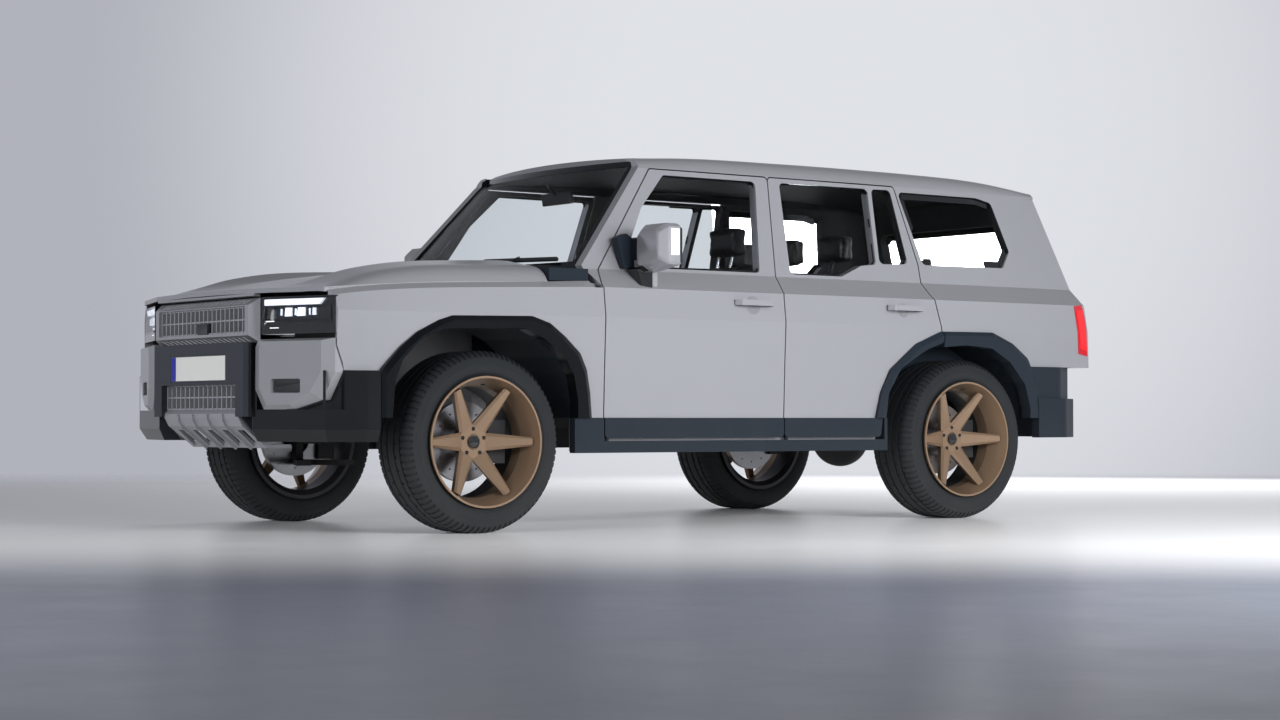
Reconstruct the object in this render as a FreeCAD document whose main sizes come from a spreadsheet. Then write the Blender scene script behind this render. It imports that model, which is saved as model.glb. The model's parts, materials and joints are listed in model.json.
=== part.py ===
"""A boxy five-door off-road estate on a separate frame, built as named pieces in millimetres.

X points forward, Y to the vehicle's left and Z up. The origin is on the ground at mid length.
"""
import FreeCAD, Part
import math
import os
import Sketcher

Vector = FreeCAD.Vector

# Driving sizes in millimetres and degrees, each written once and named as its cell in the sheet
SIZES = (
    # overall
    ("wheelbase", 2850), ("front_overhang", 895), ("rear_overhang", 1075),
    ("overrun", 60), ("seat_gap", 0.3), ("panel_gap", 6),
    # heights of the body's lines above the ground
    ("sill_bottom", 343), ("door_bottom", 402), ("clad_line", 500), ("crease_height", 730),
    ("widest_height", 950), ("shoulder_height", 1085), ("belt_height", 1172),
    ("header_height", 1660), ("rail_height", 1742), ("roof_crown", 20),
    ("wing_edge_height", 1115), ("bonnet_height", 1178), ("body_rear_bottom", 762),
    # half widths of the body's lines
    ("rocker_half", 932), ("crease_half", 940), ("body_half", 950), ("shoulder_half", 934),
    ("belt_half", 836), ("header_half", 700), ("rail_half", 600), ("wing_edge_half", 893),
    ("sill_half", 938), ("flare_half", 964), ("roof_bulge", 16),
    # thicknesses
    ("door_wall", 90), ("door_lip", 34), ("lip_step", 18), ("frame_wall", 50), ("frame_lip", 24),
    ("wing_wall", 50), ("roof_wall", 40), ("bonnet_wall", 20), ("shoulder_rise", 58), ("glass_wall", 5),
    ("glass_inset", 14), ("clad_wall", 40), ("panel_wall", 28), ("liner_wall", 5),
    ("tail_wall", 60), ("tail_overhang", 960), ("tail_lean", 18.5), ("tail_draft", 5), ("pillar_depth", 46), ("pillar_width", 96),
    ("outline_radius", 22), ("window_radius", 26), ("arch_radius", 60), ("hinge_inset", 25),
    # wheel arches
    ("arch_reach", 475), ("front_arch_top", 890), ("rear_arch_top", 862), ("flare_wall", 66), ("flare_bevel", 16),
    # wheels
    ("tyre_radius", 395), ("tyre_width", 289), ("track", 1620), ("rim_radius", 285),
    ("rim_width", 303), ("barrel_radius", 252), ("barrel_wall", 9), ("bead_radius", 268),
    ("hub_recess", 111), ("hub_radius", 72), ("spoke_count", 6), ("spoke_width", 80),
    ("spoke_tip_width", 38), ("spoke_depth", 30), ("bore_radius", 33), ("lug_circle", 57),
    ("lug_hole", 9), ("lug_count", 5), ("cap_radius", 30), ("cap_depth", 14),
    ("disc_radius", 175), ("disc_wall", 28), ("disc_hat", 82), ("disc_hat_depth", 46),
    ("disc_hole", 5), ("disc_hole_count", 12), ("running_gap", 6),
    # steering and axles
    ("kingpin_half", 716), ("caliper_length", 190), ("caliper_depth", 68),
    ("caliper_width", 78), ("knuckle_height", 190), ("knuckle_width", 40), ("hub_shaft", 31),
    ("axle_tube", 44), ("diff_radius", 150), ("arm_length", 265),
    ("arm_wall", 26), ("arm_width", 60), ("coil_radius", 52),
    # frame and drive
    ("rail_y", 410), ("rail_width", 62), ("rail_depth", 120), ("rail_low", 455),
    ("rail_kick", 95), ("member_width", 90), ("member_depth", 40),
    ("engine_length", 640), ("engine_width", 520), ("engine_depth", 400), ("engine_low", 560),
    ("gearbox_radius", 108), ("gearbox_length", 900), ("tunnel_half", 140), ("tunnel_height", 775),
    ("shaft_radius", 36), ("tank_length", 700), ("tank_depth", 200),
    ("pipe_radius", 30), ("silencer_radius", 84), ("silencer_length", 520),
    # cabin
    ("floor_height", 545), ("rear_floor_height", 672), ("floor_wall", 22), ("cabin_half", 800),
    ("bulkhead_wall", 30),
    ("seat_width", 500), ("seat_depth", 500), ("seat_wall", 120), ("seat_height", 770),
    ("back_height", 500), ("back_wall", 110), ("headrest_width", 260),
    ("headrest_depth", 90), ("headrest_height", 170), ("seat_y", 400), ("rear_seat_width", 1240),
    ("dash_half", 720), ("dash_top", 1100), ("dash_depth", 420), ("dash_drop", 318),
    ("wheel_rim_radius", 182), ("wheel_rim_wall", 15), ("column_tilt", 24), ("column_radius", 26),
    ("column_length", 190),
    # front end
    ("grille_half", 413), ("grille_low", 864), ("grille_high", 978), ("grille_depth", 26),
    ("surround_half", 462), ("surround_low", 822), ("surround_high", 1012),
    ("bar_wall", 7), ("bar_count", 21), ("crossbar_count", 3), ("lower_grille_half", 356),
    ("lower_grille_low", 534), ("lower_grille_high", 644), ("lower_bar_count", 17),
    ("bumper_low", 398), ("bumper_high", 821.7), ("wing_low_front", 698), ("bumper_wall", 62),
    ("lamp_low", 854), ("lamp_high", 1012), ("lamp_inner", 513), ("lamp_outer", 905),
    ("lamp_depth", 130), ("skid_wall", 16), ("skid_half", 355.7), ("skid_slots", 5), ("bumper_half", 455),
    ("plate_half", 265), ("plate_low", 655), ("plate_high", 775), ("plate_seat", 4),
    ("bumper_foot", 450), ("bumper_bevel", 26), ("surround_bevel", 30), ("slot_count", 18),
    ("panel_bevel", 24), ("fog_width", 158), ("fog_height", 60), ("fog_rise", 100), ("lamp_rim", 10),
    # rear end
    ("tail_lamp_low", 804), ("tail_lamp_high", 1120), ("tail_lamp_width", 62),
    ("tail_lamp_proud", 6), ("tailgate_half", 640), ("tailgate_top", 1588),
    ("gate_split", 1.244),
    ("rear_bumper_low", 400), ("rear_bumper_step", 600), ("corner_radius", 75), ("corner_share", 0.75),
    # fittings
    ("mirror_width", 215), ("mirror_height", 218), ("mirror_depth", 120), ("mirror_low", 1156),
    ("handle_length", 240), ("handle_wall", 26), ("handle_proud", 34), ("handle_height", 1036),
    ("cup_radius", 58), ("cup_depth", 20),
    ("eye_radius", 22), ("eye_wall", 20), ("hitch_hole", 8.5), ("hitch_pitch", 83), ("hitch_rise", 56),
    ("hitch_wall", 16), ("rack_hole", 3.4), ("rack_depth", 25),
)

doc = FreeCAD.newDocument("OffRoadEstate")
sheet = doc.addObject("Spreadsheet::Sheet", "Sizes")
for row, (alias, value) in enumerate(SIZES, start=1):
    sheet.set("A%d" % row, alias)
    sheet.set("B%d" % row, "%g" % value)
    sheet.setAlias("B%d" % row, alias)
doc.recompute()

NODES = []


def size(alias):
    """One driving size, read from the sheet."""
    return float(sheet.get(alias))


LENGTH = size("front_overhang") + size("wheelbase") + size("rear_overhang")
FRONT_AXLE = LENGTH / 2 - size("front_overhang")
REAR_AXLE = FRONT_AXLE - size("wheelbase")
WHEEL_Y = size("track") / 2
GAP = size("panel_gap")
SEAT = size("seat_gap")
OVER = size("overrun")
LEVELS = ("sill_bottom", "clad_line", "crease_height", "widest_height", "shoulder_height",
          "belt_height", "header_height")


def along(share):
    """A place along the body, as a share of the wheelbase behind the front axle."""
    return FRONT_AXLE - share * size("wheelbase")


def level(number):
    """A height between two of the body's named lines, 0 at the sill and 6 at the door tops."""
    step = min(int(number), len(LEVELS) - 2)
    low, high = size(LEVELS[step]), size(LEVELS[step + 1])
    return low + (high - low) * (number - step)


def flat(points, radius=0):
    """A closed wire through points, each corner rounded as far as its two edges allow."""
    count = len(points)
    if not radius:
        return Part.makePolygon(list(points) + [points[0]])
    edges, starts, ends = [], [], []
    for index, corner in enumerate(points):
        before = points[index - 1] - corner
        after = points[(index + 1) % count] - corner
        half = before.getAngle(after) / 2
        reach = min(radius / math.tan(half), 0.45 * before.Length, 0.45 * after.Length)
        first = corner + before.normalize() * reach
        last = corner + after.normalize() * reach
        bulge = reach * math.tan(half)
        centre = corner + (first + last - corner * 2).normalize() * (reach / math.cos(half))
        middle = centre + (corner - centre).normalize() * bulge
        starts.append(first)
        ends.append(last)
        edges.append(Part.Arc(first, middle, last).toShape())
    wire = []
    for index in range(count):
        wire.append(edges[index])
        wire.append(Part.makeLine(ends[index], starts[(index + 1) % count]))
    return Part.Wire(wire)


def side_outline(shares, radius=0):
    """A closed wire seen from the side, from shares of the wheelbase and level numbers."""
    return flat([Vector(along(u), 0, level(n)) for u, n in shares], radius)


def grown(wire, amount):
    """The face inside a closed wire, moved out by an amount, or in where it is negative."""
    face = Part.Face(wire)
    if not amount:
        return face
    return face.makeOffset2D(amount, 0, False, False, False)


def through_side(face, low=None, high=None):
    """A face seen from the side, carried through the left half of the body."""
    low = size("rail_half") / 4 if low is None else low
    high = size("body_half") + 4 * OVER if high is None else high
    moved = face.copy()
    moved.translate(Vector(0, low, 0))
    return moved.extrude(Vector(0, high - low, 0))


def plan_prism(points, low, high, radius=0):
    """An outline seen from above, extruded between two heights."""
    wire = flat([Vector(x, y, low) for x, y in points], radius)
    return Part.Face(wire).extrude(Vector(0, 0, high - low))


def side_prism(points, low, high, radius=0):
    """An outline seen from the side, extruded between two places across the body."""
    wire = flat([Vector(x, low, z) for x, z in points], radius)
    return Part.Face(wire).extrude(Vector(0, high - low, 0))


def front_prism(points, back, front, radius=0):
    """An outline seen from the front, extruded between two places along the body."""
    wire = flat([Vector(back, y, z) for y, z in points], radius)
    return Part.Face(wire).extrude(Vector(front - back, 0, 0))


def block(x0, x1, y0, y1, z0, z1):
    """A box between two corners."""
    return Part.makeBox(x1 - x0, y1 - y0, z1 - z0, Vector(x0, y0, z0))


def other_side(shape):
    """The mirror image across the middle of the vehicle."""
    return shape.mirror(Vector(0, 0, 0), Vector(0, 1, 0))


def pair(shape):
    """A shape and its mirror image, as solids of one node."""
    return Part.makeCompound(shape.Solids + other_side(shape).Solids)


def node(label, shape, place=None):
    """A sub-part whose shape is worked out from the sheet."""
    item = doc.addObject("Part::Feature", label)
    item.Label = label
    item.Shape = shape
    if place is not None:
        item.Placement = place
    NODES.append(item)
    return item


# Body sections

# Places along the body, with the share of the full width and of the rail's height there
STATION_SHARES = (
    (0.114, 0.992, 0.960), (0.2246, 0.997, 0.968), (0.335, 0.999, 0.978), (0.405, 1.0, 0.988),
    (0.646, 1.0, 0.999), (0.882, 0.995, 1.0), (1.050, 0.982, 0.997), (1.149, 0.972, 0.990),
    (1.2193, 0.960, 0.975), (1.2684, 0.950, 0.958),
)
POST_STATION = 8
# Places along the wings, with shares of the width, of the shoulder's and of the edge's height
WING_SHARES = (
    (0.2246, 0.997, 1.0, 1.0), (0.079, 0.998, 0.988, 0.984), (-0.061, 0.996, 0.975, 0.970),
    (-0.184, 0.985, 0.955, 0.950), (-0.262, 0.962, 0.930, 0.924),
)
# Places along the bonnet, with shares of its width, of its edge's and its centre's height,
# and of the full rise of its shoulders
BONNET_SHARES = (
    (0.128, 0.998, 0.992, 1.022, 0.80), (0.060, 0.998, 0.985, 1.008, 0.95),
    (-0.010, 0.997, 0.980, 0.995, 1.0), (-0.080, 0.995, 0.972, 0.980, 1.0),
    (-0.140, 0.990, 0.962, 0.962, 0.86), (-0.186, 0.984, 0.954, 0.946, 0.58),
    (-0.226, 0.974, 0.946, 0.928, 0.22), (-0.265, 0.960, 0.938, 0.911, 0.0),
    (-0.312, 0.945, 0.932, 0.892, 0.0),
)


def lower_points(share, inset):
    """The lower side from the cladding line up to the shoulder, at one place along the body."""
    halves = ("rocker_half", "crease_half", "body_half", "shoulder_half")
    heights = ("clad_line", "crease_height", "widest_height", "shoulder_height")
    return [(size(half) * share - inset, size(height)) for half, height in zip(halves, heights)]


def curved(first, control, last):
    """A smooth edge from one point to another, drawn towards a control point."""
    curve = Part.BezierCurve()
    curve.setPoles([first, control, last])
    return curve.toShape()


def bulged(first, last, bulge):
    """A smooth edge across the body's section that stands out from its chord."""
    chord = last - first
    outward = Vector(0, chord.z, -chord.y).normalize()
    return curved(first, (first + last) / 2 + outward * (2 * bulge), last)


def side_section(station, low_out, low_in, top_out, top_in):
    """The closed section of the left wall, from the cladding line to the roof rail."""
    u, share, rail_share = station
    x = along(u)
    rail = size("rail_height") * rail_share
    belt, header = size("belt_half") * share, size("header_half") * share
    outer = lower_points(share, low_out) + [(belt - top_out, size("belt_height")),
                                            (header - top_out, size("header_height"))]
    inner = lower_points(share, low_in) + [(belt - top_in, size("belt_height")),
                                           (header - top_in, size("header_height"))]
    points = [Vector(x, y, z) for y, z in outer]
    top = Vector(x, size("rail_half"), rail - top_out)
    edges = [Part.makeLine(a, b) for a, b in zip(points, points[1:])]
    edges.append(bulged(points[-1], top, size("roof_bulge")))
    back = [Vector(x, size("rail_half"), rail - max(top_in, size("roof_wall")))]
    back += [Vector(x, y, z) for y, z in reversed(inner)]
    chain = [top] + back + [points[0]]
    edges += [Part.makeLine(a, b) for a, b in zip(chain, chain[1:])]
    return Part.Wire(edges)


def side_wall(low_out, low_in, top_out, top_in):
    """A layer of the left wall between two depths, over the whole cabin."""
    wires = [side_section(station, low_out, low_in, top_out, top_in) for station in STATION_SHARES]
    return Part.makeLoft(wires, True, False)


def glass_sheet():
    """The plane of the side glass, just inside the greenhouse's outer face."""
    wires = []
    for u, share, _ in STATION_SHARES:
        x = along(u)
        low, high = size("belt_half") * share, size("header_half") * share
        near, far = size("glass_inset"), size("glass_inset") + size("glass_wall")
        wires.append(flat([
            Vector(x, low - near, size("belt_height")), Vector(x, high - near, size("header_height")),
            Vector(x, high - far, size("header_height")), Vector(x, low - far, size("belt_height")),
        ]))
    return Part.makeLoft(wires, True, False)


# Outlines seen from the side, in shares of the wheelbase and level numbers
FRONT_DOOR_SHARES = (
    (0.2246, 0.40), (0.2246, 4.15), (0.2344, 4.84), (0.3737, 6.0), (0.6232, 6.0),
    (0.6021, 5.0), (0.5912, 3.96), (0.5912, 0.40),
)
REAR_DOOR_SHARES = (
    (0.5912, 0.40), (0.5912, 3.96), (0.6021, 5.0), (0.6232, 6.0), (0.9116, 6.0),
    (0.9354, 5.19), (0.933, 4.29), (0.9474, 2.91), (0.9456, 2.64), (0.9035, 2.46),
    (0.8456, 2.05), (0.8165, 1.52), (0.8060, 0.40),
)
FRONT_WINDOW_SHARES = ((0.2860, 5.03), (0.3440, 5.61), (0.4000, 5.945), (0.5950, 5.945), (0.5690, 5.03))
REAR_WINDOW_SHARES = (
    (0.6360, 5.03), (0.6470, 5.95), (0.8480, 5.955), (0.8350, 5.17), (0.8000, 5.15), (0.7500, 5.03),
)
REAR_LIGHT_SHARES = ((0.8435, 5.175), (0.8570, 5.955), (0.9010, 5.96), (0.9110, 5.19))
QUARTER_SHARES = (
    (0.9480, 5.19), (0.9185, 5.945), (1.1140, 5.945), (1.1500, 5.90), (1.1740, 5.38), (1.1490, 5.20),
)
# The body side behind the windscreen, round the cabin and down to the bumper
SIDE_SHARES = (
    (0.2246, 4.0), (0.2065, 5.03), (0.3537, 6.02), (0.3520, 6.40), (1.2684, 6.40), (1.2684, 5.98),
    (1.2193, 5.98), (1.2193, 2.145), (0.9300, 2.145), (0.9300, 1.0), (0.2246, 1.0),
)


def door_prisms(shares):
    """The outlines of a door's skin and of its thicker inner part, seen from the side."""
    wire = side_outline(shares, size("outline_radius"))
    skin = through_side(grown(wire, -GAP / 2))
    core = through_side(grown(wire, -GAP / 2 - size("lip_step")))
    return skin, core


def pillar_box(extra):
    """The middle pillar behind the doors' edges, seen from the side, with room round it."""
    width = size("pillar_width") / 2 + extra
    low, belt, top = along(0.5912), along(0.6021), along(0.6232)
    points = [
        (low + width, size("door_bottom") - extra), (low + width, size("shoulder_height")),
        (belt + width, size("belt_height")), (top + width, size("header_height") + extra),
        (top - width, size("header_height") + extra), (belt - width, size("belt_height")),
        (low - width, size("shoulder_height")), (low - width, size("door_bottom") - extra),
    ]
    return side_prism(points, size("rail_half") / 4, size("body_half") + OVER)


def make_walls():
    """The layers of the side wall that doors and body side share."""
    lip, core = size("door_lip"), size("door_wall")
    frame_lip, frame = size("frame_lip"), size("frame_wall")
    return {
        "skin": side_wall(0, lip, 0, frame_lip),
        "whole": side_wall(0, core, 0, frame),
        "pillar": side_wall(size("pillar_depth"), core, frame_lip + GAP * 1.5, frame),
        "glass": glass_sheet(),
    }


def door_shell(walls, shares, windows):
    """One door: skin with a lip, thicker inside it, windows cut and room for the pillar."""
    skin_prism, core_prism = door_prisms(shares)
    core = walls["whole"].common(core_prism).cut(pillar_box(GAP))
    shell = core.fuse(walls["skin"].common(skin_prism))
    for window in windows:
        face = grown(side_outline(window, size("window_radius")), 0)
        shell = shell.cut(through_side(face))
    return shell.removeSplitter()


def window_glass(walls, windows):
    """The panes of one door or body side, a seat's gap inside their openings."""
    panes = []
    for window in windows:
        face = grown(side_outline(window, size("window_radius")), -SEAT)
        panes += walls["glass"].common(through_side(face)).Solids
    return Part.makeCompound(panes)


def handle(share):
    """A pull handle that stands off the door on its two feet."""
    x = along(share)
    length, wall = size("handle_length"), size("handle_wall")
    y = size("body_half") - size("door_lip") / 2
    z = size("handle_height")
    proud = size("body_half") + size("handle_proud")
    outer = plan_prism([(x + length / 2, y), (x + length / 2 - wall, proud),
                        (x - length / 2 + wall, proud), (x - length / 2, y)],
                       z - wall / 2, z + wall / 2, wall / 2)
    inner = plan_prism([(x + length / 2 - wall * 2, y), (x + length / 2 - wall * 2, proud - wall / 2),
                        (x - length / 2 + wall * 2, proud - wall / 2), (x - length / 2 + wall * 2, y)],
                       z - wall, z + wall)
    return outer.cut(inner)


def handle_cup(share):
    """The round hollow behind a door handle, as a shape to cut."""
    radius, deep = size("cup_radius"), size("cup_depth")
    ball = (radius * radius + deep * deep) / (2 * deep)
    centre = Vector(along(share), size("body_half") + ball - deep, size("handle_height"))
    return Part.makeSphere(ball, centre)


def cladding(shares, extra=None):
    """The dark plastic along a door's foot, thick as the sill and clear of the pillar."""
    wire = side_outline(shares, size("outline_radius"))
    outline = through_side(grown(wire, -GAP / 2))
    low = size("door_bottom")
    half, wall = size("sill_half"), size("clad_wall")
    band = block(along(1), along(0), half - wall, half, low, size("clad_line") - SEAT)
    piece = band.common(outline)
    if extra is not None:
        piece = piece.fuse(extra)
    return piece.removeSplitter()


ARCH_FRONT_SHARES = (
    (-1.006, 0.30), (-1.006, 0.65), (-0.958, 0.775), (-0.863, 0.857), (-0.648, 0.946),
    (-0.406, 1.0), (0.455, 0.99), (0.70, 0.938), (0.89, 0.84), (0.97, 0.74), (1.0, 0.56), (0.99, 0.30),
)
FLARE_FRONT_SHARES = (
    (-1.185, 0.30), (-1.185, 0.557), (-1.166, 0.685), (-1.128, 0.80), (-1.053, 0.884),
    (-0.882, 0.965), (-0.714, 1.029), (-0.51, 1.062), (0.356, 1.054), (0.50, 1.03),
    (0.722, 0.972), (0.893, 0.90), (1.097, 0.784), (1.12, 0.30),
)
ARCH_REAR_SHARES = (
    (1.08, 0.30), (1.08, 0.58), (1.057, 0.709), (0.916, 0.826), (0.594, 0.929), (0.36, 0.985),
    (0.0, 1.0), (-0.36, 0.985), (-0.625, 0.909), (-0.853, 0.776), (-0.93, 0.64), (-0.93, 0.30),
)
FLARE_REAR_SHARES = (
    (1.24, 0.30), (1.24, 0.58), (1.177, 0.723), (1.053, 0.853), (0.697, 1.001), (0.337, 1.076),
    (-0.402, 1.079), (-0.705, 1.015), (-0.935, 0.927), (-1.057, 0.776), (-1.086, 0.64),
    (-1.086, 0.30),
)


def arch_wire(axle, shares, top, extra=0):
    """A wheel arch's outline round an axle, in shares of its reach and of its top's height."""
    reach = size("arch_reach") + extra
    rise = size(top) + extra
    points = [Vector(axle + a * reach, 0, b * rise) for a, b in shares]
    return flat(points, size("arch_radius"))


def arch_prism(axle, shares, top, low, high, extra=0):
    """A wheel arch's outline carried between two places across the body."""
    return through_side(Part.Face(arch_wire(axle, shares, top, extra)), low, high)


def flare_ring(axle, inner, outer, top):
    """The dark band round a wheel arch, with its outer edge bevelled towards the body."""
    wall, half, bevel = size("flare_wall"), size("flare_half"), size("flare_bevel")
    rings = []
    for y, extra in ((half - wall, 0), (half - bevel, 0), (half, -bevel * 1.2)):
        wire = arch_wire(axle, outer, top, extra)
        wire.translate(Vector(0, y, 0))
        rings.append(wire)
    band = Part.makeLoft(rings, True, True)
    return band.cut(arch_prism(axle, inner, top, half - wall - OVER, half + OVER))


def make_doors(walls):
    """Four doors with their glass, cladding and mirrors."""
    flare = flare_ring(REAR_AXLE, ARCH_REAR_SHARES, FLARE_REAR_SHARES, "rear_arch_top")
    rear_wire = side_outline(REAR_DOOR_SHARES, size("outline_radius"))
    rear_outline = through_side(grown(rear_wire, -GAP / 2))
    above_clad = block(-LENGTH, LENGTH, 0, LENGTH, size("clad_line") - SEAT, LENGTH)
    door_flare = flare.common(rear_outline).common(above_clad)
    flare_room = arch_prism(REAR_AXLE, FLARE_REAR_SHARES, "rear_arch_top",
                            size("flare_half") - size("flare_wall") - SEAT, LENGTH, SEAT)
    front_windows = (FRONT_WINDOW_SHARES,)
    rear_windows = (REAR_WINDOW_SHARES, REAR_LIGHT_SHARES)
    front = door_shell(walls, FRONT_DOOR_SHARES, front_windows).cut(handle_cup(0.5237)).fuse(handle(0.5237))
    rear = door_shell(walls, REAR_DOOR_SHARES, rear_windows).cut(flare_room)
    rear = largest(rear).cut(handle_cup(0.8579)).fuse(handle(0.8579))
    pieces = {
        "door_front": front.removeSplitter(),
        "door_rear": rear.removeSplitter(),
        "door_glass_front": window_glass(walls, front_windows),
        "door_glass_rear": window_glass(walls, rear_windows),
        "door_clad_front": cladding(FRONT_DOOR_SHARES),
        "door_clad_rear": cladding(REAR_DOOR_SHARES, door_flare),
        "mirror": mirror_shape(front),
    }
    for name, shape in pieces.items():
        node(name + "_left", shape)
        node(name + "_right", other_side(shape))


def mirror_shape(door):
    """A chamfered door mirror on its short arm, which stands on the door's face."""
    x, z = along(0.311), size("mirror_low")
    inner = size("belt_half") + GAP
    width, tall, deep = size("mirror_width"), size("mirror_height"), size("mirror_depth")
    chamfer = deep / 4
    y = inner + deep / 2

    def ring(place, inset):
        left, right, low, high = y + inset, y + width - inset, z + inset, z + tall - inset
        return flat([Vector(place, left, low), Vector(place, right, low + chamfer),
                     Vector(place, right, high - chamfer / 2), Vector(place, right - chamfer, high),
                     Vector(place, left + chamfer, high), Vector(place, left, high - chamfer)], chamfer / 2)

    back, crease, nose = x - deep / 2, x + deep / 8, x + deep / 2
    head = Part.makeLoft([ring(back, chamfer / 4), ring(back + chamfer / 2, 0), ring(crease, 0),
                          ring(nose, chamfer * 0.9)], True, True)
    foot = size("belt_height") + SEAT
    root = size("belt_half") - size("glass_inset")
    top = z + chamfer * 2
    arm = front_prism([(root, foot), (y + width / 2, foot), (y + width / 2, top), (root, top)],
                      x - chamfer, x + chamfer)
    return largest(head.fuse(arm).cut(door))


def largest(shape):
    """The largest solid of a shape, where a cut leaves slivers."""
    return max(shape.Solids, key=lambda solid: solid.Volume)


def make_sides(walls):
    """The fixed body sides, with pillars, quarter windows and the corner posts at the tail."""
    outline = through_side(grown(side_outline(SIDE_SHARES), 0))
    side = walls["whole"].common(outline)
    for shares in (FRONT_DOOR_SHARES, REAR_DOOR_SHARES):
        opening = grown(side_outline(shares, size("outline_radius")), GAP / 2)
        side = side.cut(through_side(opening))
    side = side.cut(through_side(grown(side_outline(QUARTER_SHARES, size("window_radius")), 0)))
    side = side.cut(arch_prism(REAR_AXLE, FLARE_REAR_SHARES, "rear_arch_top", 0, LENGTH, SEAT))
    pillar = walls["pillar"].common(pillar_box(0))
    deep = size("sill_half") - size("clad_wall") - GAP
    rocker = block(along(0.806), along(0.190), deep - size("door_wall"), deep, size("sill_bottom") + GAP,
                   size("clad_line") - GAP)
    middle, reach = along(0.5912), size("pillar_width") / 2
    foot = block(middle - reach, middle + reach, deep - size("door_wall") + GAP * 3, deep - GAP * 2,
                 size("clad_line") - GAP * 2, size("clad_line") + GAP * 4)
    post = block(along(0.2246) + GAP, along(0.190), size("body_half") - size("door_wall") - OVER,
                 size("body_half") - size("wing_wall") - GAP * 4, size("sill_bottom") + OVER,
                 size("shoulder_height") + GAP * 3)
    side = side.fuse([pillar, rocker, foot, post, corner_post()])
    side = side.cut([gate_room(), windscreen_solid(size("panel_wall"), OVER)])
    node("side_left", side.removeSplitter())
    node("side_right", other_side(side.removeSplitter()))
    panes = window_glass(walls, (QUARTER_SHARES,))
    return panes


def tail_x(height):
    """Where the tail's outer face lies at a height: drafted below the belt, leaning above it."""
    bottom, belt = size("body_rear_bottom"), size("belt_height")
    low = REAR_AXLE - size("tail_overhang")
    draft = math.tan(math.radians(size("tail_draft")))
    if height <= belt:
        return low + (height - bottom) * draft
    return low + (belt - bottom) * draft + (height - belt) * math.tan(math.radians(size("tail_lean")))


def side_half_at(height, share):
    """The body's half width at a height, on the section's straight lines."""
    points = lower_points(share, 0) + [(size("belt_half") * share, size("belt_height")),
                                       (size("header_half") * share, size("header_height"))]
    for (y0, z0), (y1, z1) in zip(points, points[1:]):
        if z0 <= height <= z1:
            return y0 + (y1 - y0) * (height - z0) / (z1 - z0)
    return points[-1][0]


def gate_room():
    """The room that the tailgate and its shut gap take out of the body."""
    low, belt, top = size("body_rear_bottom"), size("belt_height"), size("tailgate_top") + GAP
    wall, half = size("tail_wall") + GAP, size("tailgate_half") + GAP
    points = [(tail_x(low) - OVER, low), (tail_x(belt) - OVER, belt), (tail_x(top) - OVER, top + OVER * 0.9),
              (tail_x(top) + wall, top + GAP * 1.5), (tail_x(belt) + wall, belt), (tail_x(low) + wall, low)]
    return side_prism(points, -half, half)


def corner_post():
    """The rear corner of the body side, turned round to the tailgate's edge."""
    u, share, _ = STATION_SHARES[POST_STATION]
    x = along(u)
    wires = []
    inner_edge = size("tailgate_half") - GAP * 3
    for height in (size("body_rear_bottom"), size("widest_height"), size("shoulder_height"),
                   size("belt_height"), size("header_height")):
        y, tail, wall = side_half_at(height, share), tail_x(height), size("frame_wall")
        drawn = y - (x - tail) * 0.08
        points = [Vector(x, y, height), Vector(tail, drawn, height), Vector(tail, inner_edge, height),
                  Vector(tail + wall, inner_edge, height), Vector(tail + wall, drawn - wall, height),
                  Vector(x, y - wall, height)]
        wires.append(corner_wire(points, (x - tail) * size("corner_share")))
    return Part.makeLoft(wires, True, True)


def corner_wire(points, radius):
    """A closed plan wire whose second point is a rounded outer corner."""
    before = points[0] - points[1]
    after = points[2] - points[1]
    first = points[1] + before.normalize() * radius
    last = points[1] + after.normalize() * min(radius, after.Length * 0.9)
    edges = [Part.makeLine(points[0], first), curved(first, points[1], last),
             Part.makeLine(last, points[2])]
    chain = points[2:] + [points[0]]
    edges += [Part.makeLine(a, b) for a, b in zip(chain, chain[1:])]
    return Part.Wire(edges)


def roof_loft(half):
    """The crowned roof from the windscreen's header to the spoiler's tip."""
    wires = []
    places = [station for station in STATION_SHARES if 0.3 < station[0] < 1.26]
    ends = ((1.2895, 0.950, 0.948),)
    for u, _, rail_share in places + list(ends):
        x = along(u)
        rail = size("rail_height") * rail_share
        crown, wall = size("roof_crown"), size("roof_wall")
        top = Part.Arc(Vector(x, -half, rail), Vector(x, 0, rail + crown), Vector(x, half, rail))
        under = Part.Arc(Vector(x, half, rail - wall), Vector(x, 0, rail + crown - wall),
                         Vector(x, -half, rail - wall))
        wires.append(Part.Wire([
            top.toShape(), Part.makeLine(Vector(x, half, rail), Vector(x, half, rail - wall)),
            under.toShape(), Part.makeLine(Vector(x, -half, rail - wall), Vector(x, -half, rail)),
        ]))
    return Part.makeLoft(wires, True, False)


def make_roof():
    """The roof panel between the rails, with its four threaded rack holes."""
    roof = roof_loft(size("rail_half") - SEAT)
    roof = roof.cut(windscreen_solid(size("panel_wall"), OVER))
    roof = largest(roof.common(block(along(size("gate_split")), LENGTH, -LENGTH, LENGTH, 0, LENGTH)))
    radius, y = size("rack_hole"), size("rail_half") * 0.9
    for u in (0.5, 1.1):
        probe = Part.makeLine(Vector(along(u), y, 0), Vector(along(u), y, LENGTH))
        top = max(vertex.Z for vertex in roof.common(probe).Vertexes)
        hole = Part.makeCylinder(radius, OVER, Vector(along(u), y, top - size("rack_depth")))
        roof = roof.cut([hole, other_side(hole)])
    end = along(size("gate_split"))
    tab = block(end - GAP + SEAT, end + OVER, size("rail_half") * 0.45, size("rail_half") * 0.55,
                size("header_height") + GAP * 2, size("header_height") + GAP * 4)
    node("roof", roof.fuse([tab, other_side(tab)]))


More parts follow.
